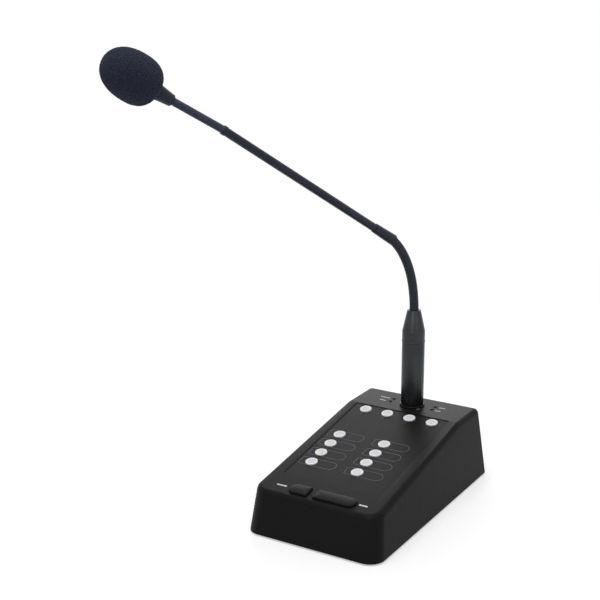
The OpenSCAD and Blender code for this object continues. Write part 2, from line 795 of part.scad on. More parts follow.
module plug_shell() {
    shell_r = plug_d / 2;
    color("#b9bcc0") translate([0, mast_y, deck_z - plug_l]) difference() {
        union() {
            cylinder(r = shell_r, h = plug_l + flange_h + gap);
            translate([0, 0, mast_z - deck_z + plug_l]) cylinder(r = mast_in_r - slip / 2, h = plug_body_h);
        }
        translate([0, 0, -over]) cylinder(r = shell_r - plug_wall, h = plug_l + flange_h + gap + over);
        for (a = PIN_ANGLES) rotate([0, 0, a]) translate([pin_circle_r, 0, 0])
            cylinder(d = pin_d + slip / 2, h = plug_l + mast_l);
    }
}

module plug_pins() {
    pin_tip = 3;
    color("goldenrod") translate([0, mast_y, deck_z - plug_l + pin_tip])
        for (a = PIN_ANGLES) rotate([0, 0, a]) translate([pin_circle_r, 0, 0])
            cylinder(d = pin_d, h = plug_l - pin_tip + mast_z - deck_z + plug_body_h);
}

module preamp_board() {
    strip_gap = 1.5;
    strip_l = 35;
    color("#1f5a35") translate([0, mast_y, mast_z + plug_body_h])
        cube_on(2 * (mast_in_r - strip_gap), board_t, strip_l);
}

module mast_cone() {
    spigot_l = 7;
    spigot_wall = 2;
    color("#3a3d3f") translate([0, mast_y, 0]) difference() {
        union() {
            translate([0, 0, seam_z - spigot_l]) cylinder(r = mast_in_r - slip / 2, h = spigot_l + seam_h);
            translate([0, 0, seam_z]) cylinder(d = seam_d, h = seam_h);
            translate([0, 0, seam_z]) cylinder(d = mast_d, h = cone_z - seam_z);
            translate([0, 0, cone_z]) cylinder(d1 = mast_d, d2 = cone_top_d, h = cone_l);
            translate([0, 0, neck_z]) ball_end(lower_ball_r, cone_top_z - neck_z);
        }
        translate([0, 0, seam_z - spigot_l - over])
            cylinder(r = mast_in_r - spigot_wall, h = spigot_l + shoulder_l);
        translate([0, 0, seam_z - over]) cylinder(r = lower_bore_r, h = neck_z - seam_z + lower_d);
    }
}

// Ball on which the next link turns, centred on z = 0, with a stalk down to a depth
module ball_end(r, depth) {
    sphere(r);
    translate([0, 0, depth - over / 2]) cylinder(r = r * 0.8, h = over / 2 - depth);
}

// One link of wound hose: a ribbed sleeve with a round cup below and a ball above, centre to centre l
module hose_link(d, l, ball_r, bore_r, top_turn) {
    r = d / 2;
    shoulder = l - r * tan(top_turn) - slip;
    ribs = floor((shoulder - rim_h) / rib_pitch);
    pitch = (shoulder - rim_h) / ribs;
    rib_points = [for (k = [0 : ribs - 1], p = [[rib_depth, 0], [0, 0.3], [0, 0.7], [rib_depth, 1]])
        [r - p[0], rim_h + (k + p[1]) * pitch]];
    difference() {
        union() {
            rotate_extrude() polygon(concat([[0, 0], [r, 0]], rib_points, [[0, l - slip]]));
            translate([0, 0, l]) sphere(ball_r);
        }
        sphere(ball_r + slip);
        translate([0, 0, -over]) cylinder(r = bore_r, h = l + ball_r + 2 * over);
    }
}

module lower_flex(i) {
    turn = i == lower_count ? ferrule_turn : link_turn;
    color("#22262b") on_neck(lower_end(i - 1), lean(i))
        hose_link(lower_d, lower_link, lower_ball_r, lower_bore_r, turn);
}

module neck_ferrule() {
    chamfer = 0.7;
    low_r = ferrule_low_d / 2;
    seat = ferrule_l - tube_inset;
    color("#26292c") on_neck(boom_start, boom_lean) difference() {
        rotate_extrude() polygon([[0, 0], [low_r - chamfer, 0], [low_r, chamfer],
            [ferrule_top_d / 2, ferrule_l], [0, ferrule_l]]);
        sphere(lower_ball_r + slip);
        translate([0, 0, -over]) cylinder(r = lower_bore_r, h = ferrule_l);
        translate([0, 0, seat]) cylinder(d = boom_d + slip, h = tube_inset + over);
    }
}

module boom_tube() {
    shoulder = boom_d / 2 * tan(link_turn) + slip;
    start = ferrule_l - tube_inset;
    top = ferrule_l + boom_l;
    color("#22252a") on_neck(boom_start, boom_lean) difference() {
        union() {
            translate([0, 0, start]) cylinder(d = boom_d, h = top - shoulder - start);
            translate([0, 0, top]) ball_end(upper_ball_r, -shoulder);
        }
        translate([0, 0, start - over]) cylinder(r = boom_d / 2 - tube_wall, h = top - start - tube_end_l);
        translate([0, 0, start]) cylinder(r = upper_bore_r, h = top - start + upper_d);
    }
}

module boom_ring() {
    top = ferrule_l + boom_l - boom_d / 2 * tan(link_turn) - slip;
    color("#2e3236") on_neck(boom_start, boom_lean) translate([0, 0, top - ring_l - ring_back]) difference() {
        cylinder(d = boom_d + slip + 2 * ring_wall, h = ring_l);
        translate([0, 0, -over]) cylinder(d = boom_d + slip, h = ring_l + 2 * over);
    }
}

module upper_flex(i) {
    color("#22262b") on_neck(upper_end(i - 1), upper_lean)
        hose_link(upper_d, upper_link, upper_ball_r, upper_bore_r, link_turn);
}

module head_adapter() {
    lip_l = 1.5;
    chamfer = 0.6;
    spigot_l = 5;
    low_r = adapter_low_d / 2;
    color("#25282c") on_neck(head_start, head_lean) difference() {
        rotate_extrude() polygon([[0, 0], [low_r - chamfer, 0], [low_r, chamfer], [low_r, lip_l],
            [adapter_top_d / 2, adapter_l], [barrel_in_r - slip, adapter_l],
            [barrel_in_r - slip, adapter_l + spigot_l], [0, adapter_l + spigot_l]]);
        sphere(upper_ball_r + slip);
        translate([0, 0, -over]) cylinder(r = upper_bore_r, h = adapter_l + spigot_l + 2 * over);
    }
}

module capsule_barrel() {
    ledge_t = 1.2;
    ledge_w = 1.4;
    color("#303236") on_neck(head_start, head_lean) difference() {
        translate([0, 0, adapter_l]) cylinder(d = barrel_d, h = barrel_l);
        translate([0, 0, adapter_l - over])
            cylinder(r = barrel_in_r, h = ledge_z - ledge_t - adapter_l + over);
        translate([0, 0, ledge_z]) cylinder(r = barrel_in_r, h = barrel_l);
        translate([0, 0, adapter_l]) cylinder(r = barrel_in_r - ledge_w, h = barrel_l);
    }
}

module capsule() {
    color("silver") on_neck(head_start, head_lean)
        translate([0, 0, ledge_z]) cylinder(d = capsule_d, h = capsule_l);
}

module capsule_grille() {
    rim_l = 1.6;
    rim_r = barrel_in_r - slip;
    rim_wall = 0.7;
    hole_d = 1.4;
    hole_circle_r = 2.6;
    color("#3c3f43") on_neck(head_start, head_lean) translate([0, 0, adapter_l + barrel_l]) difference() {
        union() {
            cylinder(d = barrel_d, h = grille_t);
            translate([0, 0, -rim_l]) cylinder(r = rim_r, h = rim_l + grille_t / 2);
        }
        translate([0, 0, -rim_l - over]) cylinder(r = rim_r - rim_wall, h = rim_l + over);
        translate([0, 0, -over]) cylinder(d = hole_d, h = grille_t + 2 * over);
        for (a = [0 : 60 : 300]) rotate([0, 0, a]) translate([hole_circle_r, 0, -over])
            cylinder(d = hole_d, h = grille_t + 2 * over);
    }
}

// Half outline of the windscreen: two half ellipses of their own length and fullness that share their
// widest ring, cut flat where it opens
function full(x, bulge) = sign(x) * pow(abs(x), 2 / bulge);
function egg(a) = let (bulge = a < 0 ? screen_low_bulge : screen_bulge,
                       half_l = a < 0 ? screen_low_l : screen_l - screen_low_l)
    [screen_d / 2 * full(cos(a), bulge), screen_low_l + half_l * full(sin(a), bulge)];

module windscreen() {
    mouth_angle = -74;
    tip_angle = 90;
    bore_r = barrel_d / 2 + gap;
    bore_l = adapter_l + barrel_l + grille_t + gap - screen_start;
    step = (tip_angle - mouth_angle) / SCREEN_STEPS;
    outline = [for (k = [0 : SCREEN_STEPS - 1]) egg(mouth_angle + step * k)];
    mouth_z = egg(mouth_angle)[1];
    color("#24262d") on_neck(head_start, head_lean) translate([0, 0, screen_start]) difference() {
        rotate_extrude() polygon(concat([[0, mouth_z]], outline, [[0, screen_l]]));
        translate([0, 0, -over]) cylinder(r = bore_r, h = bore_l + over);
    }
}

housing();
overlay();
base_plate();
rubber_feet();
base_screws();
color("#242424") key(chime_x, chime_l, -1);  // chime_key
color("#242424") key(talk_x, talk_l, 1);  // talk_key
main_board();
button_switches();
key_switches();
zone_leds();
status_leds();
led_board();
board_screws();
io_board();
link_sockets();
power_socket();
mic_socket();
socket_insert();
socket_nut();
latch_tab();
mast_tube();
plug_shell();
plug_pins();
preamp_board();
mast_cone();
neck_ferrule();
boom_tube();
boom_ring();
head_adapter();
capsule_barrel();
capsule();
capsule_grille();
windscreen();
for (i = [0 : 3]) button(select_at(i));
for (i = [0 : 7]) button(zone_at(i));
for (i = [1 : lower_count]) lower_flex(i);
for (i = [1 : upper_count]) upper_flex(i);
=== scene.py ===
"""Looks of a desk paging microphone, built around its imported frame.
The frame is in metres, +Z up, with the desk at z = 0 and the operator at -Y. Sizes of the object are written
in millimetres, those of the camera, the lamps and the floor in metres."""
import json
import math

import bmesh
import bpy
import numpy as np
from mathutils import Matrix, Vector


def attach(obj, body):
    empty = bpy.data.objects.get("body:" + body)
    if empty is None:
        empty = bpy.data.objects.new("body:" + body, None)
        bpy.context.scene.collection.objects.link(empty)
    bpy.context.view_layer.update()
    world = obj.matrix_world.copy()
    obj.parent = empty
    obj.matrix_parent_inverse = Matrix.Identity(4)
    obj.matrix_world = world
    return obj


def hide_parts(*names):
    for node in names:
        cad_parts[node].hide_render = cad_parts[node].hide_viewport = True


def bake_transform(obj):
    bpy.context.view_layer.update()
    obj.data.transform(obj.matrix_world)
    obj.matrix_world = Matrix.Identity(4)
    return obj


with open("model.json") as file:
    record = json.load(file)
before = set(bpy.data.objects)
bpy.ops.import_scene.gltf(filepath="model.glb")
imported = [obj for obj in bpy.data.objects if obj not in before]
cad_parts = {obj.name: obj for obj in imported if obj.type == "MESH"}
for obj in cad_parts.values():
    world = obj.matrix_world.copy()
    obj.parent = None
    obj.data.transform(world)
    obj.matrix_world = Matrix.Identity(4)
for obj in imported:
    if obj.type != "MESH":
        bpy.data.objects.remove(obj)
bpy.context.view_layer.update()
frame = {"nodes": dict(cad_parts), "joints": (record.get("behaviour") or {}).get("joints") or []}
NODES = frame["nodes"]
JOINTS = {joint["name"]: joint for joint in frame["joints"]}
MM = 0.001

# Shell and panel, as the frame has them
DECK_Z = 64.5
DECK_FACE = 64.457
KINK_Y = 57.306
SLOPE = math.radians(9.3915)
MAST_Y = 76.006
FILM_TOP = -0.3
BUTTON_R = 5.3
BUTTON_TOP = 0.5
LIP = 0.9
LIP_Z = (-3.65, -2.65)
STEM_R = 1.75
CAP_STEM_LOW = -7.9
DISH_R = 4.2
DISH_DEPTH = 0.18
GROOVE_R = 3.3
GROOVE_W = 0.3
GROOVE_DEPTH = 0.45
GROOVE_END = 2.5
DISH_START = 2.3
INSET_LOW = -0.6
INSET_RISE = 0.03
SELECT_PITCH = 21.8
SELECT_V = 8.8
ZONE_V = 57.03
ZONE_PITCH = 16.1
PIPE = (-7.2, 4.1)
PIPE_R = 0.9
PIPE_LOW = -10
KEY_V = 147.83
KEY_H = 12.4
KEY_TOP = 2.0
KEY_STEM_LOW = -7.2
KEY_SHOULDER = 0.9
KEY_CROWN = 0.35
CHIME_X = (-28.1, -9.7)
TALK_X = (-3.8, 33.4)
LAMP_R = 1.5
LAMP_TOP = 0.8
LAMP_LOW = -8
LAMP_X = 20.7
LAMP_Y = (MAST_Y - 1.9, MAST_Y + 5.1)

# Connector side and underside
SOCKET_FACE = 101.176
LINK_X = (-20, 0)
SUPPLY_X = 22
SUPPLY_Z = 15.1
PIN_R = 1.03
PIN_L = 9.6
PIN_BACK = 10.5
PLATE_Z = 2
SCREW_AT = [(x, y) for x in (-51.1, 51.1) for y in (-63.75, 87.75)]

# Socket on the deck, heights from the deck
CUP_IN_R = 8.3
CUP_R = 9.7
CUP_FLOOR = -22
CUP_LOW = -24
FLANGE_R = 11.2
FLANGE_H = 1.8

# Mast, neck and head
MAST_R = 10.2
MAST_IN_R = 8.7
MAST_Z = 66.6
SEAM_Z = 124.8
SEAM_R = 10.5
SEAM_H = 1.1
SEAM_STEP = 0.1
SPIGOT_L = 7
CONE_IN_R = 6.7
CONE_TAPER = (8, 10)
CONE_Z = 134.9
CONE_TOP = 154.3
CONE_TOP_R = 5.9
TURN = math.radians(25)
BOOM_LEAN = math.radians(56.9)
HEAD_LEAN = math.radians(58)
FERRULE_L = 24.2
FERRULE_LOW_R = 4.8
FERRULE_TOP_R = 4.1
FERRULE_SLANT = 0.5
TUBE_SLANT = 0.2
BOOM_L = 176
BOOM_SEAT_L = 14
BOOM_END_GAP = 1.25
BOOM_R = 3.5
BOOM_IN_R = 2.6
LOWER_R = 4.05
UPPER_R = 3.15
RIB_PITCH = 1.25
HOSE_TAIL = 6
HOSE_SEAT = 7
LOWER_BORE = 1.6
UPPER_BORE = 1.1
ADAPTER_LOW_R = 4.85
ADAPTER_TOP_R = 6.2
ADAPTER_L = 13
ADAPTER_RIM = 1.5
ADAPTER_SLANT = 0.4
BARREL_SEAT_R = 5.1
BARREL_SEAT_L = 18
SCREEN_R = 18.9
SCREEN_WIDE_Z = 35.4
SCREEN_HALF_L = (20.5, 26.7)
SCREEN_POWER = (2.6, 2.2)
SCREEN_MOUTH = math.radians(-74)
SCREEN_BORE_R = 6.3
SCREEN_BORE_END = 37.5


def linear(code):
    """An sRGB hex colour as linear red, green, blue and alpha."""
    srgb = np.array([int(code[i:i + 2], 16) for i in (1, 3, 5)]) / 255
    rgb = np.where(srgb <= 0.04045, srgb / 12.92, ((srgb + 0.055) / 1.055) ** 2.4)
    return (*map(float, rgb), 1.0)


def per_mm(size):
    """Scale of a pattern, on coordinates in metres, whose feature is that many millimetres wide."""
    return 1 / (size * MM)


def add(tree, kind, inputs=None, **settings):
    """One shader node with its settings; an input is a value, or a socket to link from."""
    node = tree.nodes.new(kind)
    for key, value in settings.items():
        setattr(node, key, value)
    for key, value in (inputs or {}).items():
        if isinstance(value, bpy.types.NodeSocket):
            tree.links.new(value, node.inputs[key])
        else:
            node.inputs[key].default_value = value
    return node


def blank(name):
    """A new material with an empty node tree, and that tree."""
    made = bpy.data.materials.new(name)
    made.use_nodes = True
    made.node_tree.nodes.clear()
    return made, made.node_tree


def coat(name, dark, light, rough, blotch, grain, height, stretch=(1, 1, 1), **sockets):
    """A surface whose colour drifts between two hex colours over blotches, whose roughness drifts between two
    values, and whose grain stands up by a height. Blotch, grain and height are in millimetres, and stretch
    divides the pattern's frequency along each axis."""
    made, tree = blank(name)
    place = add(tree, "ShaderNodeTexCoord").outputs["Object"]
    drawn = add(tree, "ShaderNodeMapping", {"Vector": place, "Scale": tuple(1 / s for s in stretch)})
    drift = add(tree, "ShaderNodeTexNoise", {"Vector": place, "Scale": per_mm(blotch), "Detail": 3.0})
    ramp = add(tree, "ShaderNodeValToRGB", {"Fac": drift.outputs["Fac"]})
    for element, at, code in zip(ramp.color_ramp.elements, (0.35, 0.65), (dark, light)):
        element.position, element.color = at, linear(code)
    fine = add(tree, "ShaderNodeTexNoise",
               {"Vector": drawn.outputs["Vector"], "Scale": per_mm(grain), "Detail": 2.0})
    spread = add(tree, "ShaderNodeMapRange", {"Value": fine.outputs["Fac"], "From Min": 0.3, "From Max": 0.7,
                                             "To Min": rough[0], "To Max": rough[1]})
    bump = add(tree, "ShaderNodeBump",
               {"Height": fine.outputs["Fac"], "Distance": height * MM, "Strength": 1.0})
    shader = add(tree, "ShaderNodeBsdfPrincipled", {
        "Base Color": ramp.outputs["Color"], "Roughness": spread.outputs["Result"],
        "Normal": bump.outputs["Normal"], **sockets})
    add(tree, "ShaderNodeOutputMaterial", {"Surface": shader.outputs["BSDF"]})
    return made


SHELL_GLOSS = {"Specular IOR Level": 0.075}
LOW_GLOSS = {"Specular IOR Level": 0.11}
SATIN_GLOSS = {"Specular IOR Level": 0.25}
INSET_GLOSS = {"Specular IOR Level": 0.2}
CAP_GLOSS = {"Specular IOR Level": 0.3}
# Black ABS from a spark-eroded mould: an even fine grain that spreads the light
SHELL_ABS = coat("black_ABS_spark_textured", "#131314", "#161617", (0.42, 0.54), 60, 0.6, 0.012,
                 **SHELL_GLOSS)
# Polycarbonate film, printed black on its back: flatter than the shell, with a faint orange peel
PANEL_FILM = coat("polycarbonate_film_matt", "#141415", "#171718", (0.4, 0.5), 50, 1.1, 0.005, **SHELL_GLOSS)
# White ABS caps, satin moulded, cold in tint, and painted a little lighter than the inset: painted light on
# the rim
CAP_ABS_PAINTED_LIGHT = coat("white_ABS_satin_painted_light", "#f8f9fc", "#fbfbfd", (0.36, 0.46), 9, 0.6, 0.002, **CAP_GLOSS)
# Inset of a cap: the same ABS and matt, painted a shade greyer: painted shade of the dish
INSET_ABS_PAINTED_SHADE = coat("white_ABS_matt_painted_shade", "#e6e7f0", "#ecedf4", (0.5, 0.6), 9, 0.6, 0.003, **INSET_GLOSS)
# Black ABS keys, satin moulded: smoother than the shell, so their edges catch the light
KEY_ABS = coat("black_ABS_satin", "#101011", "#131314", (0.4, 0.5), 20, 0.5, 0.004, **SHELL_GLOSS)
# Aluminium mast, bead-blasted and anodised dark grey
MAST_ALU = coat("anodised_aluminium_dark", "#37393b", "#3d3f41", (0.28, 0.36), 14, 0.5, 0.003, Metallic=1.0)
# Aluminium socket, anodised black
SOCKET_ALU = coat("anodised_aluminium_black", "#17181a", "#1c1d1f", (0.3, 0.4), 8, 0.4, 0.003, **LOW_GLOSS)
# Steel hose in a black oxide finish, a little blue
HOSE_STEEL = coat("black_oxide_steel", "#1e2430", "#262d3a", (0.38, 0.5), 6, 0.4, 0.004, **SATIN_GLOSS)
# The thin upper hose: the same black oxide steel, painted lighter and bluer as painted light for the top
# light it catches, lying nearer level
UPPER_HOSE_STEEL_PAINTED_LIGHT = coat("black_oxide_steel_painted_lighter", "#2a3046", "#333a52", (0.36, 0.46), 6, 0.4, 0.003, **SATIN_GLOSS)
# Steel tube and ferrule, satin black paint over a smooth draw
TUBE_PAINT = coat("satin_black_paint_on_steel", "#1a1f2e", "#202638", (0.34, 0.44), 10, 0.5, 0.004,
                  **SATIN_GLOSS)
# Aluminium head, painted satin black
HEAD_PAINT = coat("satin_black_paint_on_aluminium", "#191d2e", "#1e2336", (0.36, 0.46), 8, 0.4, 0.004,
                  **SATIN_GLOSS)
# Zinc on steel screws and nut: pale grey with a spangle
ZINC = coat("zinc_plated_steel", "#8d9093", "#a2a5a8", (0.25, 0.38), 4, 0.3, 0.003, Metallic=1.0)
# Nickel on brass plug: warm, with turning lines round it
NICKEL = coat("nickel_plated_brass", "#a9a59c", "#b8b4ab", (0.16, 0.26), 6, 0.3, 0.002, (8, 8, 1),
              Metallic=1.0)
# Gold flash on brass contacts
GOLD = coat("gold_flashed_brass", "#b98d3c", "#cda04a", (0.18, 0.28), 3, 0.3, 0.002, Metallic=1.0)
# Spring steel latch, dull
LATCH_STEEL = coat("spring_steel_dull", "#5c5f62", "#6a6d70", (0.3, 0.42), 3, 0.3, 0.003, Metallic=1.0)
# Powder-coated steel plate: an orange peel a millimetre or so wide
POWDER_COAT = coat("powder_coated_steel", "#161617", "#1a1a1b", (0.48, 0.62), 40, 1.4, 0.03, **SATIN_GLOSS)
# Moulded rubber feet, dull
RUBBER = coat("moulded_rubber", "#121212", "#171717", (0.7, 0.85), 6, 0.5, 0.015, **LOW_GLOSS)
# Glass-epoxy board under green solder resist
BOARD = coat("green_solder_resist", "#124a26", "#1a5e31", (0.25, 0.4), 7, 0.6, 0.008)
# Black PBT of sockets and switches
SOCKET_PBT = coat("black_PBT_moulding", "#121213", "#18181a", (0.4, 0.52), 10, 0.5, 0.006, **SATIN_GLOSS)
# Tinted resin of an unlit lamp: very dark red, frosted
LAMP_RESIN = coat("dark_red_lamp_resin", "#260c0d", "#301011", (0.3, 0.4), 3, 0.5, 0.001, **SHELL_GLOSS)
# Smoked resin of the zone lamps' windows
SMOKED_RESIN = coat("smoked_lamp_resin", "#1a1415", "#211819", (0.3, 0.4), 2, 0.4, 0.001, **LOW_GLOSS)
# Printed ink: grey outlines and white label marks; the black spots on the short key are painted shade of two
# small dimples
GREY_INK = coat("grey_screen_ink", "#64666a", "#707276", (0.5, 0.6), 6, 0.4, 0.002, **LOW_GLOSS)
WHITE_INK = coat("white_screen_ink", "#e4e5e7", "#efeff0", (0.5, 0.6), 4, 0.4, 0.002, **LOW_GLOSS)
BLACK_PAINTED_SHADE = coat("black_painted_shade", "#070708", "#0b0b0c", (0.5, 0.6), 3, 0.4, 0.002, **LOW_GLOSS)

CAD_COATS = {
    "housing": SHELL_ABS, "overlay": PANEL_FILM, "base_plate": POWDER_COAT, "rubber_feet": RUBBER,
    "base_screws": ZINC, "chime_key": KEY_ABS, "talk_key": KEY_ABS, "main_board": BOARD,
    "button_switches": SOCKET_PBT, "key_switches": SOCKET_PBT, "zone_leds": SMOKED_RESIN,
    "status_leds": LAMP_RESIN, "led_board": BOARD, "board_screws": ZINC, "io_board": BOARD,
    "link_sockets": SOCKET_PBT, "power_socket": SOCKET_PBT, "mic_socket": SOCKET_ALU,
    "socket_insert": SOCKET_PBT, "socket_nut": ZINC, "latch_tab": LATCH_STEEL, "mast_tube": MAST_ALU,
    "plug_shell": NICKEL, "plug_pins": GOLD, "preamp_board": BOARD, "mast_cone": MAST_ALU,
    "neck_ferrule": TUBE_PAINT, "boom_tube": TUBE_PAINT, "boom_ring": TUBE_PAINT,
    "head_adapter": HEAD_PAINT, "capsule_barrel": HEAD_PAINT, "capsule": ZINC,
    "capsule_grille": HEAD_PAINT, "windscreen": HEAD_PAINT,
}


def dress(obj, made):
    """Gives an object one material."""
    obj.data.materials.clear()
    obj.data.materials.append(made)


for name, node in NODES.items():
    dress(node, CAD_COATS.get(name, HOSE_STEEL if "_flex_" in name else CAP_ABS_PAINTED_LIGHT))


def placed(place, turn=0.0, lean=0.0):
    """4 x 4 placing in millimetres: a lean about X, then a turn about Z, then a move to a place."""
    made = Matrix.Translation(Vector(place)) @ Matrix.Rotation(turn, 4, "Z") @ Matrix.Rotation(lean, 4, "X")
    return np.array(made)


ON_SLOPE = placed((0, KINK_Y, DECK_Z), 0, SLOPE)
ON_FILM = ON_SLOPE @ placed((0, 0, FILM_TOP))
ON_DECK = placed((0, MAST_Y, DECK_FACE))
ON_MAST = placed((0, MAST_Y, 0))


def put(points, placing):
    """Points of any grid, in millimetres in a placing's frame, as metres in the shared frame."""
    return (points @ placing[:3, :3].T + placing[:3, 3]) * MM


def show(name, mesh, made, body, replaced=()):
    """An object for a finished mesh, with its material, its body and the nodes it stands for."""
    obj = bpy.data.objects.new(name, mesh)
    bpy.context.scene.collection.objects.link(obj)
    dress(obj, made)
    if replaced:
        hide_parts(*replaced)
    if body:
        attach(obj, body)
    return obj


def skin(name, grids, wrap_rows=False, wrap_columns=False, crease=40):
    """A mesh from grids of points (rows x columns x 3, metres): each cell is a face, rows or columns may
    close on themselves, equal points at a pole are merged, faces turn outwards, and edges past the crease
    angle stay sharp."""
    vertices, faces, first = [], [], 0
    for grid in grids:
        rows, columns = grid.shape[:2]
        index = np.arange(rows * columns).reshape(rows, columns) + first
        if wrap_rows:
            index = np.vstack([index, index[:1]])
        if wrap_columns:
            index = np.hstack([index, index[:, :1]])
        cells = np.stack([index[:-1, :-1], index[:-1, 1:], index[1:, 1:], index[1:, :-1]], -1)
        faces.append(cells.reshape(-1, 4))
        vertices.append(grid.reshape(-1, 3))
        first += rows * columns
    mesh = bpy.data.meshes.new(name)
    mesh.from_pydata(np.vstack(vertices), [], np.vstack(faces))
    edit = bmesh.new()
    edit.from_mesh(mesh)
    bmesh.ops.remove_doubles(edit, verts=edit.verts, dist=1e-7)
    bmesh.ops.recalc_face_normals(edit, faces=edit.faces)
    edit.to_mesh(mesh)
    edit.free()
    mesh.shade_smooth()
    mesh.set_sharp_from_angle(angle=math.radians(crease))
    return mesh


def rounded(corners, radii, steps=6):
    """A line of (radius, height) points whose corners are arcs: each arc is the part of a circle that
    touches both sides of its corner, r / tan(half the corner's angle) away from it."""
    corners = np.array(corners, float)
    line = []
    for i, r in enumerate(radii):
        here = corners[i]
        if r == 0:
            line.append(here[None])
            continue
        back, on = corners[i - 1] - here, corners[(i + 1) % len(corners)] - here
        back, on = back / np.linalg.norm(back), on / np.linalg.norm(on)
        half = np.arccos(np.clip(back @ on, -1, 1)) / 2
        centre = here + (back + on) / np.linalg.norm(back + on) * r / np.sin(half)
        first, last = here + back * r / np.tan(half) - centre, here + on * r / np.tan(half) - centre
        t, sweep = np.linspace(0, 1, steps)[:, None], np.pi - 2 * half
        line.append(centre + (np.sin((1 - t) * sweep) * first + np.sin(t * sweep) * last) / np.sin(sweep))
    return np.vstack(line)


def turned(profile, placing, steps=72):
    """Grid of a profile of (radius, height) turned about the placing's Z axis:
    x = r cos a, y = r sin a, z = h."""
    a = np.linspace(0, 2 * np.pi, steps, endpoint=False)[:, None]
    r, h = np.asarray(profile, float).T
    return put(np.stack([r * np.cos(a), r * np.sin(a), h + 0 * a], -1), placing)


def lathe(name, profile, placing, made, body, replaced=(), closed=True, steps=72):
    """A turned piece; a closed profile is a ring, an open one starts and ends on the axis."""
    mesh = skin(name, [turned(profile, placing, steps)], True, closed)
    return show(name, mesh, made, body, replaced)


def select_u(i):
    """Sideways place of a cap of the rear row."""
    return (i - 1.5) * SELECT_PITCH


ZONES = [(select_u(0 if i < 4 else 2), ZONE_V + i % 4 * ZONE_PITCH) for i in range(8)]
CAPS = {f"select_button_{i + 1}": (select_u(i), SELECT_V) for i in range(4)}
CAPS |= {f"zone_button_{i + 1}": at for i, at in enumerate(ZONES)}


# Round caps: stem, flange, straight side, rounded rim, and a shallow dish with an inset inside a ring groove
def cap_face(r):
    """Line of a cap's face from its rim inwards: it sinks by d cos(pi r / 2R) as a dish, and by
    g exp(-((r - G) / w)^2) as a groove."""
    dish = DISH_DEPTH * np.cos(np.pi * r / (2 * DISH_R))
    groove = GROOVE_DEPTH * np.exp(-((r - GROOVE_R) / GROOVE_W) ** 2)
    return np.stack([r, BUTTON_TOP - dish - groove], -1)


outer_r = np.linspace(DISH_R, GROOVE_R, 14)
inner_r = np.concatenate([np.linspace(GROOVE_R, GROOVE_END, 13), np.linspace(DISH_START, 0, 7)])
CAP_LIP_R = BUTTON_R + LIP
cap_side = rounded([(0, CAP_STEM_LOW), (STEM_R, CAP_STEM_LOW), (STEM_R, LIP_Z[0]), (CAP_LIP_R, LIP_Z[0]),
                    (CAP_LIP_R, LIP_Z[1]), (BUTTON_R, LIP_Z[1]), (BUTTON_R, BUTTON_TOP),
                    (DISH_R, BUTTON_TOP)],
                   [0, 0.2, 0, 0.1, 0.1, 0, 0.5, 0])
cap_line = np.vstack([cap_side[:-1], cap_face(np.concatenate([outer_r, inner_r[1:]]))])
inset_line = np.vstack([[(0, INSET_LOW), (GROOVE_R, INSET_LOW)], cap_face(inner_r) + [0, INSET_RISE]])
# Caps in the lighter white, insets in the greyer: painted light on the rims, painted shade in the dishes
for name, (u, v) in CAPS.items():
    seat = ON_SLOPE @ placed((u, -v, 0))
    lathe(name + "_cap", cap_line, seat, CAP_ABS_PAINTED_LIGHT, name, [name], closed=False, steps=64)
    lathe(name + "_inset", inset_line, seat, INSET_ABS_PAINTED_SHADE, name, closed=False, steps=64)


# Press keys: the two halves of one long capsule, with rounded shoulders
def key_loop(x, side, inset):
    """Outline of a key moved inwards: a half circle at its outer end, corner arcs at its inner end. The arcs
    shrink as the outline moves in, and keep a least radius so that no points meet."""
    r, least = KEY_H / 2 - inset, 0.02
    corner = min(max(KEY_SHOULDER - inset, least), r)
    outer = (x[0] + KEY_H / 2) if side < 0 else (x[1] - KEY_H / 2)
    inner = (x[1] - inset - corner) if side < 0 else (x[0] + inset + corner)
    t, q = np.linspace(0, np.pi, 40), np.linspace(0, np.pi / 2, 8)
    end = np.stack([outer + side * r * np.sin(t), r * np.cos(t)], -1)
    low = np.stack([inner - side * corner * np.sin(q), -r + corner - corner * np.cos(q)], -1)
    high = np.stack([inner - side * corner * np.cos(q), r - corner + corner * np.sin(q)], -1)
    return np.vstack([end, low, high])


def press_key(name, x, side):
    """Rings of a key's outline: holding flange, straight side, shoulder arc, then inwards over a crown that
    rises by c (1 - s^2), where s is the distance from the middle line as a share of the crown's half
    width."""
    half, last_inset, stem_bite = KEY_H / 2, 0.05, 0.3
    arc = np.linspace(0, np.pi / 2, 7)
    over = np.linspace(KEY_SHOULDER, half - last_inset, 8)[1:]
    insets = np.concatenate([[-LIP, -LIP, 0], KEY_SHOULDER * (1 - np.cos(arc)), over])
    rise = KEY_CROWN * (1 - (1 - (over - KEY_SHOULDER) / (half - KEY_SHOULDER)) ** 2)
    edge = KEY_TOP - KEY_CROWN
    heights = np.concatenate([[LIP_Z[0], LIP_Z[1], LIP_Z[1]], edge - KEY_SHOULDER * (1 - np.sin(arc)),
                              edge + rise])
    loops = [key_loop(x, side, inset) for inset in insets]
    rings = [np.column_stack([loop, np.full(len(loop), height)]) for loop, height in zip(loops, heights)]
    middle = [ring * [1, 0, 1] for ring in (rings[0], rings[-1])]
    cap = put(np.stack([middle[0], *rings, middle[1]]), ON_SLOPE @ placed((0, -KEY_V, 0)))
    stem_top = LIP_Z[0] + stem_bite
    stem = turned([(0, KEY_STEM_LOW), (STEM_R, KEY_STEM_LOW), (STEM_R, stem_top), (0, stem_top)],
                  ON_SLOPE @ placed((sum(x) / 2, -KEY_V, 0)), 40)
    mesh = skin(name + "_cap", [cap, stem.transpose(1, 0, 2)], wrap_columns=True)
    return show(name + "_cap", mesh, KEY_ABS, name, [name])


press_key("chime_key", CHIME_X, -1)
press_key("talk_key", TALK_X, 1)


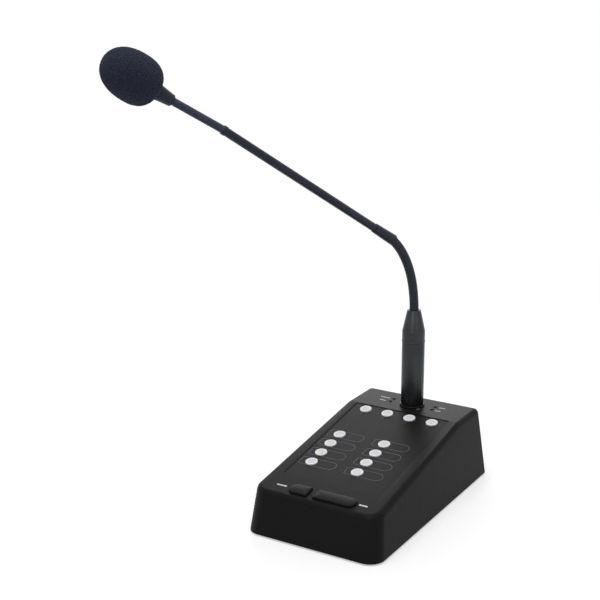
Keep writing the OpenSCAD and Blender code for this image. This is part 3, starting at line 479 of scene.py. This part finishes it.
# Shell, latch, feet, sockets and barrel: the frame's own shapes, with their rounded edges shaded smooth
def smooth_copy(node, made, body, bevel=0.0, crease=28):
    """A copy of a frame node with its equal points merged, flat faces joined, and a smooth shade below the
    crease angle in degrees; its sharp edges may be broken by a bevel of a width in millimetres."""
    mesh = NODES[node].data.copy()
    edit = bmesh.new()
    edit.from_mesh(mesh)
    bmesh.ops.remove_doubles(edit, verts=edit.verts, dist=1e-6)
    bmesh.ops.dissolve_limit(edit, angle_limit=math.radians(0.3), verts=edit.verts, edges=edit.edges)
    edit.to_mesh(mesh)
    edit.free()
    mesh.shade_smooth()
    mesh.set_sharp_from_angle(angle=math.radians(crease))
    obj = show(node + "_skin", mesh, made, body, [node])
    if bevel:
        broken = obj.modifiers.new("broken_edges", "BEVEL")
        broken.width, broken.segments, broken.limit_method = bevel * MM, 2, "ANGLE"
        broken.angle_limit = math.radians(crease)
    even = obj.modifiers.new("even_normals", "WEIGHTED_NORMAL")
    even.keep_sharp = True
    return obj


smooth_copy("housing", SHELL_ABS, "base")
smooth_copy("latch_tab", LATCH_STEEL, "latch_tab", bevel=0.25)
smooth_copy("rubber_feet", RUBBER, "base", bevel=0.6)
smooth_copy("link_sockets", SOCKET_PBT, "base", bevel=0.25)
smooth_copy("power_socket", SOCKET_PBT, "base", bevel=0.25)
smooth_copy("capsule_barrel", HEAD_PAINT, "head")


# Connector side: spring contacts of the link sockets and the supply socket's pin
def spring_contacts():
    """Eight wires in each link socket, from the mouth's floor up to its back wall. Each is a straight tube:
    around a point of its line, r cos a along X and r sin a across the line."""
    wire_r, pitch, count = 0.23, 1.02, 8
    depths, heights = (1.2, 13.3), (10.95, 14.6)
    start, end = [np.array([0, SOCKET_FACE - depth, height]) for depth, height in zip(depths, heights)]
    across = np.array([0, start[2] - end[2], end[1] - start[1]]) / np.linalg.norm(end - start)
    a = np.linspace(0, 2 * np.pi, 12, endpoint=False)[None, :, None]
    r = wire_r * np.array([0, 1, 1, 0])[:, None, None]
    wire = np.stack([start, start, end, end])[:, None] + r * (np.cos(a) * [1, 0, 0] + np.sin(a) * across)
    grids = [(wire + [x + (i - (count - 1) / 2) * pitch, 0, 0]) * MM for x in LINK_X for i in range(count)]
    mesh = skin("spring_contacts", grids, wrap_columns=True)
    return show("spring_contacts", mesh, GOLD, "base")


spring_contacts()
pin_line = rounded([(0, 0), (PIN_R, 0), (PIN_R, PIN_L), (0, PIN_L)], [0, 0, 0.12, 0])
pin_seat = placed((SUPPLY_X, SOCKET_FACE - PIN_BACK, SUPPLY_Z), 0, -math.pi / 2)
lathe("supply_pin", pin_line, pin_seat, NICKEL, "base", closed=False, steps=32)


# Underside: screws with a cross recess
def base_screw(x, y):
    """Grid of a screw from the middle of its head, over its rim, up its shank. The head's face rises by
    h (r / R)^4, and sinks by d where the smaller of |x| and |y| is under half an arm's width, within the
    arms' length. The recess has walls a little aslant."""
    head_r, shank_r, top, around = 2.5, 1.2, 11.5, 96
    face_z, rim_rise, recess = 0.7, 0.4, 0.7
    arm_half, arm_l, wall = 0.42, 1.6, 0.12
    fine_end, coarse_start = 1.75, 1.85
    a = np.linspace(0, 2 * np.pi, around, endpoint=False)[None]
    r = np.concatenate([np.linspace(0, fine_end, 30), np.linspace(coarse_start, head_r, 8)])[:, None]
    u, v = r * np.cos(a), r * np.sin(a)
    across = np.minimum(np.abs(u), np.abs(v))
    arm = np.clip((arm_half - across) / wall, 0, 1) * np.clip((arm_l - r) / wall, 0, 1)
    face = np.stack([u, v, face_z + rim_rise * (r / head_r) ** 4 + recess * arm], -1)
    body = np.stack([rr * np.concatenate([np.cos(a), np.sin(a)]).T for rr in (head_r, shank_r, shank_r, 0)])
    height = np.broadcast_to(np.array([PLATE_Z, PLATE_Z, top, top])[:, None, None], (4, around, 1))
    return (np.concatenate([face, np.concatenate([body, height], -1)]) + [x, y, 0]) * MM


screws = skin("cross_screws", [base_screw(x, y) for x, y in SCREW_AT], wrap_columns=True)
show("cross_screws", screws, ZINC, "base", ["base_screws"])


# Lamps: four domes on the deck, and flush windows beside the zone caps
def dome(radius, top, low):
    """Profile of a lamp: a straight body under a dome that is a part of a sphere."""
    a = np.linspace(0, np.pi / 2, 10)
    cap = np.stack([radius * np.cos(a), top - radius + radius * np.sin(a)], -1)
    return np.vstack([[(0, low), (radius, low)], cap])


def domed_window(radius, top, low):
    """Profile of a lamp's window: a straight rod whose top swells by a tenth of its radius."""
    r, swell = np.linspace(radius, 0, 6), 0.1
    cap = np.stack([r, top + swell * radius * (1 - (r / radius) ** 2)], -1)
    return np.vstack([[(0, low), (radius, low)], cap])


deck_lamps = [turned(dome(LAMP_R, LAMP_TOP, LAMP_LOW), placed((x, y, DECK_Z)), 32)
              for x in (-LAMP_X, LAMP_X) for y in LAMP_Y]
show("deck_lamps", skin("deck_lamps", deck_lamps, True), LAMP_RESIN, "base", ["status_leds"])
window_line = domed_window(PIPE_R, FILM_TOP, PIPE_LOW)
zone_lamps = [turned(window_line, ON_SLOPE @ placed((u + PIPE[0], -v - PIPE[1], 0)), 24) for u, v in ZONES]
show("zone_lamps", skin("zone_lamps", zone_lamps, True), SMOKED_RESIN, "base", ["zone_leds"])

# Socket on the deck: a flange with a rounded rim, over the cup that takes the plug
socket_line = rounded([(0, CUP_FLOOR), (CUP_IN_R, CUP_FLOOR), (CUP_IN_R, FLANGE_H), (FLANGE_R, FLANGE_H),
                       (FLANGE_R, 0), (CUP_R, 0), (CUP_R, CUP_LOW), (0, CUP_LOW)],
                      [0, 0.3, 0.2, 0.6, 0.05, 0.1, 0.4, 0])
lathe("deck_socket", socket_line, placed((0, MAST_Y, DECK_Z)), SOCKET_ALU, "base",
      ["mic_socket"], closed=False, steps=96)

# Mast: tube with broken edges, seam ring, straight shoulder and cone with a rolled lip
tube_line = rounded([(MAST_IN_R, MAST_Z), (MAST_R, MAST_Z), (MAST_R, SEAM_Z), (MAST_IN_R, SEAM_Z)],
                    [0.2, 0.5, 0.3, 0.2])
lathe("mast_sleeve", tube_line, ON_MAST, MAST_ALU, "mast", ["mast_tube"], steps=96)
BORE = LOWER_R + 0.25
SPIGOT_R = MAST_IN_R - 0.08
SPIGOT_Z = SEAM_Z - SPIGOT_L
SEAM_TOP = SEAM_Z + SEAM_H
CONE_SEAT = CONE_TOP - HOSE_SEAT
cone_line = rounded([(BORE, CONE_SEAT), (BORE, CONE_TOP), (CONE_TOP_R, CONE_TOP), (MAST_R, CONE_Z),
                     (MAST_R, SEAM_TOP + SEAM_STEP), (SEAM_R, SEAM_TOP), (SEAM_R, SEAM_Z),
                     (SPIGOT_R, SEAM_Z), (SPIGOT_R, SPIGOT_Z), (CONE_IN_R, SPIGOT_Z),
                     (CONE_IN_R, SEAM_Z + CONE_TAPER[0]), (LOWER_BORE, SEAM_Z + CONE_TAPER[1]),
                     (LOWER_BORE, CONE_SEAT)],
                    [0, 0.3, 0.8, 1.5, 0.05, 0.25, 0.35, 0.1, 0.3, 0.2, 0, 0, 0])
lathe("mast_shoulder", cone_line, ON_MAST, MAST_ALU, "mast", ["mast_cone"], steps=96)


# Neck: hinge centres from the frame's own joints
def hinges(*names):
    """Places of joints in millimetres."""
    return [np.array(JOINTS[name]["pos_m"]) / MM for name in names]


LOWER = hinges("lower_bend_1", "lower_sway_1", "lower_bend_2", "lower_sway_2", "lower_bend_3", "lower_sway_3",
               "lower_bend_4")
UPPER = hinges("upper_bend_1", "upper_sway_1", "upper_bend_2", "upper_sway_2", "upper_bend_3")
PLANE = np.array(JOINTS["lower_bend_1"]["axis"], float)


def leaning(lean):
    """Unit direction in the plane of the lean, at an angle from upright."""
    return np.array([-math.sin(TURN) * math.sin(lean), -math.cos(TURN) * math.sin(lean), math.cos(lean)])


ON_BOOM = placed(LOWER[-1], -TURN, BOOM_LEAN)
ON_HEAD = placed(UPPER[-1], -TURN, HEAD_LEAN)


def wound_hose(name, ends, radius, bore, made, wound, replaced):
    """Wound hose over one hinge: its middle line is the quadratic Bezier curve from ends[0] to ends[2] with
    the hinge's centre ends[1] as control point, and its radius is R - d (1 - |sin(pi w)|)^2 with
    w = length / pitch - angle / turn, so that its ridge runs round it as a screw. It bends between
    two points, and the length wound so far is handed on."""
    p, q, s = ends
    depth, per_pitch, around, inner_step = 0.32, 10, 48, 20
    coarse = np.linspace(0, 1, 200)[:, None]
    line = (1 - coarse) ** 2 * p + 2 * coarse * (1 - coarse) * q + coarse ** 2 * s
    length = np.concatenate([[0], np.cumsum(np.linalg.norm(np.diff(line, axis=0), axis=1))])
    at = np.linspace(0, length[-1], int(length[-1] / RIB_PITCH * per_pitch))
    t = np.interp(at, length, coarse[:, 0])[:, None]
    middle = (1 - t) ** 2 * p + 2 * t * (1 - t) * q + t ** 2 * s
    along = (1 - t) * (q - p) + t * (s - q)
    across = np.cross(along / np.linalg.norm(along, axis=1, keepdims=True), PLANE)
    a = np.linspace(0, 2 * np.pi, around, endpoint=False)
    w = (wound + at)[:, None] / RIB_PITCH - a / (2 * np.pi)
    r = radius - depth * (1 - np.abs(np.sin(np.pi * w))) ** 2
    ring = np.cos(a)[:, None] * PLANE + np.sin(a)[:, None] * across[:, None]
    outer = middle[:, None] + r[:, :, None] * ring
    inner = middle[::-1][::inner_step, None] + bore * ring[::-1][::inner_step]
    if len(at) % inner_step != 1:
        inner = np.concatenate([inner, middle[:1, None] + bore * ring[:1]])
    mesh = skin(name, [np.concatenate([outer, inner]) * MM], True, True, 60)
    obj = show(name, mesh, made, None, replaced)
    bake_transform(obj)
    return wound + length[-1]


def hose_run(name, centres, leans, radius, bore, made, bodies):
    """One hose piece over each hinge, from the middle of one link to the middle of the next; the first and
    last pieces end in a tail inside their sleeves, which have the two leans."""
    tails = centres[0] - HOSE_TAIL * leaning(leans[0]), centres[-1] + HOSE_TAIL * leaning(leans[1])
    middles = [tails[0], *[(a + b) / 2 for a, b in zip(centres[:-1], centres[1:])], tails[1]]
    stop, wound = 1.2, 0.0
    for k, centre in enumerate(centres):
        linked = [bodies[k + 1]] if "_flex_" in bodies[k + 1] else []
        wound = wound_hose(f"{name}_{k + 1}", (middles[k], centre, middles[k + 1]), radius, bore, made,
                           wound, linked)


hose_run("lower_hose", LOWER, (0.0, BOOM_LEAN), LOWER_R, LOWER_BORE, HOSE_STEEL,
         ["mast", *[f"lower_flex_{i}" for i in range(1, 7)], "boom"])
# The upper hose takes the lighter, bluer steel: painted light
hose_run("upper_hose", UPPER, (BOOM_LEAN, HEAD_LEAN), UPPER_R, UPPER_BORE, UPPER_HOSE_STEEL_PAINTED_LIGHT,
         ["boom", *[f"upper_flex_{i}" for i in range(1, 5)], "head"])

# Ferrule with a rolled lower lip, stiff tube and crimp ring
TUBE_Z = FERRULE_L - BOOM_SEAT_L
SEAT_R = BOOM_R + 0.02
ferrule_line = rounded([(BORE, 0), (FERRULE_LOW_R, 0), (FERRULE_TOP_R, FERRULE_L), (SEAT_R, FERRULE_L),
                        (SEAT_R, TUBE_Z), (LOWER_BORE, TUBE_Z - TUBE_SLANT), (LOWER_BORE, HOSE_SEAT),
                        (BORE, HOSE_SEAT - FERRULE_SLANT)], [0.1, 0.36, 0.4, 0.05, 0, 0, 0, 0])
lathe("ferrule_sleeve", ferrule_line, ON_BOOM, TUBE_PAINT, "boom", ["neck_ferrule"])
BOOM_END = FERRULE_L + BOOM_L - BOOM_END_GAP
MOUTH_R = UPPER_R + 0.05
boom_line = rounded([(BOOM_IN_R, TUBE_Z), (BOOM_R, TUBE_Z), (BOOM_R, BOOM_END), (MOUTH_R, BOOM_END),
                     (MOUTH_R, BOOM_END - HOSE_TAIL), (BOOM_IN_R, BOOM_END - HOSE_SEAT)],
                    [0, 0.1, 0.2, 0.05, 0, 0])
lathe("boom_pipe", boom_line, ON_BOOM, TUBE_PAINT, "boom", ["boom_tube"], steps=48)
RING_IN_R = BOOM_R + 0.01
RING_R = BOOM_R + 0.36
RING_LOW = BOOM_END - 3.4
RING_TOP = BOOM_END - 0.4
ring_line = rounded([(RING_IN_R, RING_LOW), (RING_R, RING_LOW), (RING_R, RING_TOP), (RING_IN_R, RING_TOP)],
                    [0.05, 0.2, 0.2, 0.05])
lathe("boom_crimp", ring_line, ON_BOOM, TUBE_PAINT, "boom", ["boom_ring"], steps=48)

# Head: the cone behind the windscreen
ADAPTER_BORE = UPPER_R + 0.15
adapter_line = rounded([(ADAPTER_BORE, 0), (ADAPTER_LOW_R, 0), (ADAPTER_LOW_R, ADAPTER_RIM),
                        (ADAPTER_TOP_R, ADAPTER_L), (BARREL_SEAT_R, ADAPTER_L),
                        (BARREL_SEAT_R, BARREL_SEAT_L), (UPPER_BORE, BARREL_SEAT_L),
                        (UPPER_BORE, HOSE_SEAT), (ADAPTER_BORE, HOSE_SEAT - ADAPTER_SLANT)],
                       [0.1, 0.7, 1.5, 0.15, 0, 0.3, 0, 0, 0])
lathe("head_cone", adapter_line, ON_HEAD, HEAD_PAINT, "head", ["head_adapter"])


# Windscreen of open-cell foam
def foam():
    """Polyether foam, moulded: dull and dark blue-black, with open cells drawn about a millimetre wide,
    twice their real size, so that they just show. The cells' hollows are painted darker: painted shade."""
    cell, strand, cell_depth = 1.0, 0.8, 0.35
    made, tree = blank("polyether_foam_open_cell")
    place = add(tree, "ShaderNodeTexCoord").outputs["Object"]
    cells = add(tree, "ShaderNodeTexVoronoi", {"Vector": place, "Scale": per_mm(cell)}, feature="F1")
    strands = add(tree, "ShaderNodeTexNoise", {"Vector": place, "Scale": per_mm(strand), "Detail": 4.0})
    depth = add(tree, "ShaderNodeMath", {0: cells.outputs["Distance"], 1: strands.outputs["Fac"]},
                operation="MULTIPLY")
    # The colour follows the cells' depth: darker where the skin sinks, as painted shade in the hollows
    ramp = add(tree, "ShaderNodeValToRGB", {"Fac": depth.outputs["Value"]})
    for element, at, code in zip(ramp.color_ramp.elements, (0.08, 0.42), ("#222531", "#373b4f")):
        element.position, element.color = at, linear(code)
    bump = add(tree, "ShaderNodeBump",
               {"Height": depth.outputs["Value"], "Distance": cell_depth * MM, "Strength": 1.0})
    shader = add(tree, "ShaderNodeBsdfPrincipled", {
        "Base Color": ramp.outputs["Color"], "Roughness": 0.95, "Normal": bump.outputs["Normal"],
        "Specular IOR Level": 0.05, "Sheen Weight": 0.06, "Sheen Roughness": 0.6})
    add(tree, "ShaderNodeOutputMaterial", {"Surface": shader.outputs["BSDF"]})
    return made


def windscreen():
    """Foam ball turned about the head's axis: two halves, each with its own length L and fullness n, share
    their widest ring. The radius is R cos(b)^(2/n) at the distance L |sin b|^(2/n) from that ring. A sum of
    plane waves of one length and fixed random directions lifts and sinks the skin as cells do, and a bore
    takes the barrel."""
    rows, around, waves, cell, lift, fade_rate = 210, 370, 28, 1.7, 0.1, 12
    a = np.linspace(0, 2 * np.pi, around, endpoint=False)[None]
    b = np.linspace(SCREEN_MOUTH, np.pi / 2, rows)[:, None]
    half_l, power = np.where(b < 0, *SCREEN_HALF_L), np.where(b < 0, *SCREEN_POWER)
    r = SCREEN_R * np.clip(np.cos(b), 0, 1) ** (2 / power)
    z = SCREEN_WIDE_Z + half_l * np.sign(b) * np.abs(np.sin(b)) ** (2 / power)
    flat = np.stack([r * np.cos(a), r * np.sin(a), z + 0 * a], -1)
    draw = np.random.default_rng(11)
    ways = draw.normal(size=(waves, 3))
    ways *= 2 * np.pi / cell / np.linalg.norm(ways, axis=1, keepdims=True)
    wave = np.cos(flat @ ways.T + draw.uniform(0, 2 * np.pi, waves)).sum(-1) / math.sqrt(waves / 2)
    sideways, upwards = r / SCREEN_R ** 2, (z - SCREEN_WIDE_Z) / half_l ** 2
    outward = np.stack([sideways * np.cos(a), sideways * np.sin(a), upwards + 0 * a], -1)
    outward /= np.linalg.norm(outward, axis=2, keepdims=True)
    fade = np.clip(np.minimum(b - SCREEN_MOUTH, np.pi / 2 - b) * fade_rate, 0, 1)
    outer = flat + (lift * fade * np.clip(wave, -2, 1.2))[:, :, None] * outward
    bore = (0.0, SCREEN_BORE_END), (SCREEN_BORE_R, SCREEN_BORE_END), (SCREEN_BORE_R, float(z[0, 0]))
    inner = [np.stack([rr * np.cos(a), rr * np.sin(a), zz + 0 * a], -1) for rr, zz in bore]
    mesh = skin("foam_windscreen", [put(np.vstack([*inner, outer]), ON_HEAD)], wrap_columns=True, crease=70)
    return show("foam_windscreen", mesh, foam(), "head", ["windscreen"])


windscreen()


# Printed marks on the panel film, the slope and the deck; on the short key, two black spots of painted shade
INK = 0.03
FIELD_U = (-10.2, 23.4)
FIELD_H = 10.7
FIELD_CORNER = 1.8
FIELD_LINE = 0.45
SELECT_MARK_U = (-1.9, 0.7)
SELECT_MARK_V = SELECT_V + 8.3
SELECT_MARK_H = 0.5
KEY_MARK_H = 1.7
CHIME_MARK = (-41, -32, -146.6)
TALK_MARK = (35.4, 42.8, -146.8)
SPOT_R = 0.5
SPOT_Z = KEY_TOP - 0.1
SPOTS = ((-25.1, 146.7), (-22.9, 145.4))
LAMP_MARK_H = 1.2
LAMP_MARKS = ((-34, -24.8, 5.0, 5), (-31.3, -25.7, -2.5, 4), (24.4, 30.3, 5.3, 4), (24.4, 29.5, -2.8, 3))


def ink_line(name, path, width, placing):
    """A closed line of ink along a path (n x 2), with two rims offset along the path's normal."""
    ahead = np.roll(path, -1, 0) - np.roll(path, 1, 0)
    normal = np.stack([ahead[:, 1], -ahead[:, 0]], -1) / np.linalg.norm(ahead, axis=1, keepdims=True)
    rims = [np.column_stack([path + side * width / 2 * normal, np.full(len(path), h)])
            for side, h in ((1, -INK), (1, INK), (-1, INK), (-1, -INK))]
    mesh = skin(name, [put(np.stack(rims), placing)], True, True, 30)
    return show(name, mesh, GREY_INK, "base")


def ink_blocks(name, paths, placing, made, body="base"):
    """Flat patches of colour inside closed paths (n x 2): rings at the middle and the rim, below and above.
    """
    grids = []
    for path in paths:
        rim = np.column_stack([path, np.full(len(path), -INK)])
        middle, up = np.tile(rim.mean(0), (len(path), 1)), np.array([0, 0, 2 * INK])
        grids.append(put(np.stack([middle, rim, rim + up, middle + up]), placing))
    return show(name, skin(name, grids, wrap_columns=True, crease=30), made, body)


def block(x0, x1, y, h):
    """Outline of a bar of a height about a line."""
    return np.array([(x0, y - h / 2), (x1, y - h / 2), (x1, y + h / 2), (x0, y + h / 2)])


def dashes(x0, x1, y, h, count):
    """A row of equal bars with gaps of a ninth of their length."""
    step = (x1 - x0) / (count - 0.1)
    return [block(x0 + i * step, x0 + (i + 0.9) * step, y, h) for i in range(count)]


def label_field(u0, u1, v, h, corner):
    """Outline of a label field: small corner arcs at its left end, a half circle at its right end."""
    r, q, t = h / 2, np.linspace(0, np.pi / 2, 8), np.linspace(-np.pi / 2, np.pi / 2, 24)
    right = np.stack([u1 - r + r * np.cos(t), r * np.sin(t)], -1)
    top = np.stack([u0 + corner - corner * np.sin(q), r - corner + corner * np.cos(q)], -1)
    low = np.stack([u0 + corner - corner * np.cos(q), -r + corner - corner * np.sin(q)], -1)
    return np.vstack([right, top, low]) + [0, -v]


for i, (u, v) in enumerate(ZONES):
    field = label_field(u + FIELD_U[0], u + FIELD_U[1], v, FIELD_H, FIELD_CORNER)
    ink_line(f"zone_field_{i + 1}", field, FIELD_LINE, ON_FILM)
select_marks = [block(u + SELECT_MARK_U[0], u + SELECT_MARK_U[1], -SELECT_MARK_V, SELECT_MARK_H)
                for u in map(select_u, range(4))]
ink_blocks("select_marks", select_marks, ON_FILM, GREY_INK)
ink_blocks("chime_mark", dashes(*CHIME_MARK, KEY_MARK_H, 3), ON_SLOPE, WHITE_INK)
# Two black spots on the short key: painted shade of its two small dimples
around = np.linspace(0, 2 * np.pi, 20, endpoint=False)
spots = [np.stack([u + SPOT_R * np.cos(around), -v + SPOT_R * np.sin(around)], -1) for u, v in SPOTS]
ink_blocks("chime_spots", spots, ON_SLOPE @ placed((0, 0, SPOT_Z)), BLACK_PAINTED_SHADE, "chime_key")
ink_blocks("talk_mark", dashes(*TALK_MARK, KEY_MARK_H, 3), ON_SLOPE, WHITE_INK)
lamp_marks = [bar for x0, x1, y, count in LAMP_MARKS for bar in dashes(x0, x1, y, LAMP_MARK_H, count)]
ink_blocks("lamp_marks", lamp_marks, ON_DECK, WHITE_INK)

# Camera of the photograph: its place in metres, its angles and its focal length for a frame 36 mm wide
CAMERA_AT = (0.460732, -0.872135, 0.46231)
YAW, PITCH, ROLL = math.radians(31.389), math.radians(15.923), math.radians(0.236)
SENSOR = 36
FOCAL = 74.133
HALF_PIXEL = 0.5 / 600
forward = Vector((-math.sin(YAW) * math.cos(PITCH), math.cos(YAW) * math.cos(PITCH), -math.sin(PITCH)))
right = Vector((math.cos(YAW), math.sin(YAW), 0))
down = forward.cross(right)
right, down = math.cos(ROLL) * right + math.sin(ROLL) * down, math.cos(ROLL) * down - math.sin(ROLL) * right
camera = bpy.data.objects.new("camera", bpy.data.cameras.new("camera"))
camera.data.sensor_width, camera.data.lens, camera.data.clip_end = SENSOR, FOCAL, 50
camera.data.shift_x, camera.data.shift_y = -HALF_PIXEL, HALF_PIXEL
camera.matrix_world = Matrix.Translation(CAMERA_AT) @ Matrix((right, -down, -forward)).transposed().to_4x4()
bpy.context.scene.collection.objects.link(camera)
bpy.context.scene.camera = camera


# Light: panels overhead and behind, two by the camera for the mast's streaks, and a glint in reflections only
def soft_panel(name, place, aim, size, watts):
    """A square area lamp that faces a point."""
    lamp = bpy.data.lights.new(name, "AREA")
    lamp.size, lamp.energy = size, watts
    obj = bpy.data.objects.new(name, lamp)
    obj.location = place
    obj.rotation_euler = (Vector(aim) - Vector(place)).to_track_quat("-Z", "Y").to_euler()
    bpy.context.scene.collection.objects.link(obj)
    return obj


MIDDLE = (0, 0, 0.12)
soft_panel("upper_panel", (0.05, -0.35, 1.6), MIDDLE, 1.1, 10)
soft_panel("rear_panel", (-0.9, 1.6, 0.8), MIDDLE, 1.0, 9)
soft_panel("left_streak", (0.16, -1.5, 0.55), MIDDLE, 0.35, 0.8)
soft_panel("right_streak", (1.44, -0.62, 0.55), MIDDLE, 0.35, 0.5)
soft_panel("front_glint", (0.42, -1.45, 1.05), MIDDLE, 0.2, 5.0).visible_diffuse = False


def shown_ray(tree):
    """1 for rays that show the background: from the camera, by reflection or through glass."""
    path = add(tree, "ShaderNodeLightPath").outputs
    first = add(tree, "ShaderNodeMath", {0: path["Is Camera Ray"], 1: path["Is Glossy Ray"]},
                operation="MAXIMUM")
    return add(tree, "ShaderNodeMath", {0: first.outputs["Value"], 1: path["Is Transmission Ray"]},
               operation="MAXIMUM").outputs["Value"]


# Even white room, dimmer for the light it casts than where it shows
ROOM_LEVEL = {"To Min": 0.35, "To Max": 1.0}
WHITE = linear("#ffffff")
room = bpy.data.worlds.new("room")
bpy.context.scene.world = room
room.use_nodes = True
room.node_tree.nodes.clear()
level = add(room.node_tree, "ShaderNodeMapRange", {"Value": shown_ray(room.node_tree), **ROOM_LEVEL})
sky = add(room.node_tree, "ShaderNodeBackground", {"Color": WHITE, "Strength": level.outputs["Result"]})
add(room.node_tree, "ShaderNodeOutputWorld", {"Surface": sky.outputs["Background"]})

# White paper under the object: matt, lifted to white where it shows, and fading to the room's white far away
PAPER_LIFT = 0.44
PAPER_FADE = {"From Min": 0.3, "From Max": 0.9}
FLOOR_HALF = 8
paper, tree = blank("white_paper_sweep")
lift = add(tree, "ShaderNodeMath", {0: shown_ray(tree), 1: PAPER_LIFT}, operation="MULTIPLY")
glow = add(tree, "ShaderNodeEmission", {"Color": WHITE, "Strength": lift.outputs["Value"]})
matt = add(tree, "ShaderNodeBsdfDiffuse", {"Color": linear("#ececec")})
near = add(tree, "ShaderNodeAddShader", {0: glow.outputs["Emission"], 1: matt.outputs["BSDF"]})
far_level = add(tree, "ShaderNodeMapRange", {"Value": shown_ray(tree), **ROOM_LEVEL})
far = add(tree, "ShaderNodeEmission", {"Color": WHITE, "Strength": far_level.outputs["Result"]})
place = add(tree, "ShaderNodeTexCoord").outputs["Object"]
reach = add(tree, "ShaderNodeVectorMath", {0: place}, operation="LENGTH")
fade = add(tree, "ShaderNodeMapRange", {"Value": reach.outputs["Value"], **PAPER_FADE},
           interpolation_type="SMOOTHSTEP")
both = add(tree, "ShaderNodeMixShader",
           {0: fade.outputs["Result"], 1: near.outputs["Shader"], 2: far.outputs["Emission"]})
add(tree, "ShaderNodeOutputMaterial", {"Surface": both.outputs["Shader"]})
span = np.linspace(-FLOOR_HALF, FLOOR_HALF, 3)
grid = np.stack([*np.meshgrid(span, span, indexing="ij"), np.zeros((3, 3))], -1)
show("floor", skin("floor", [grid]), paper, None)

bpy.context.scene.view_settings.view_transform = "Standard"
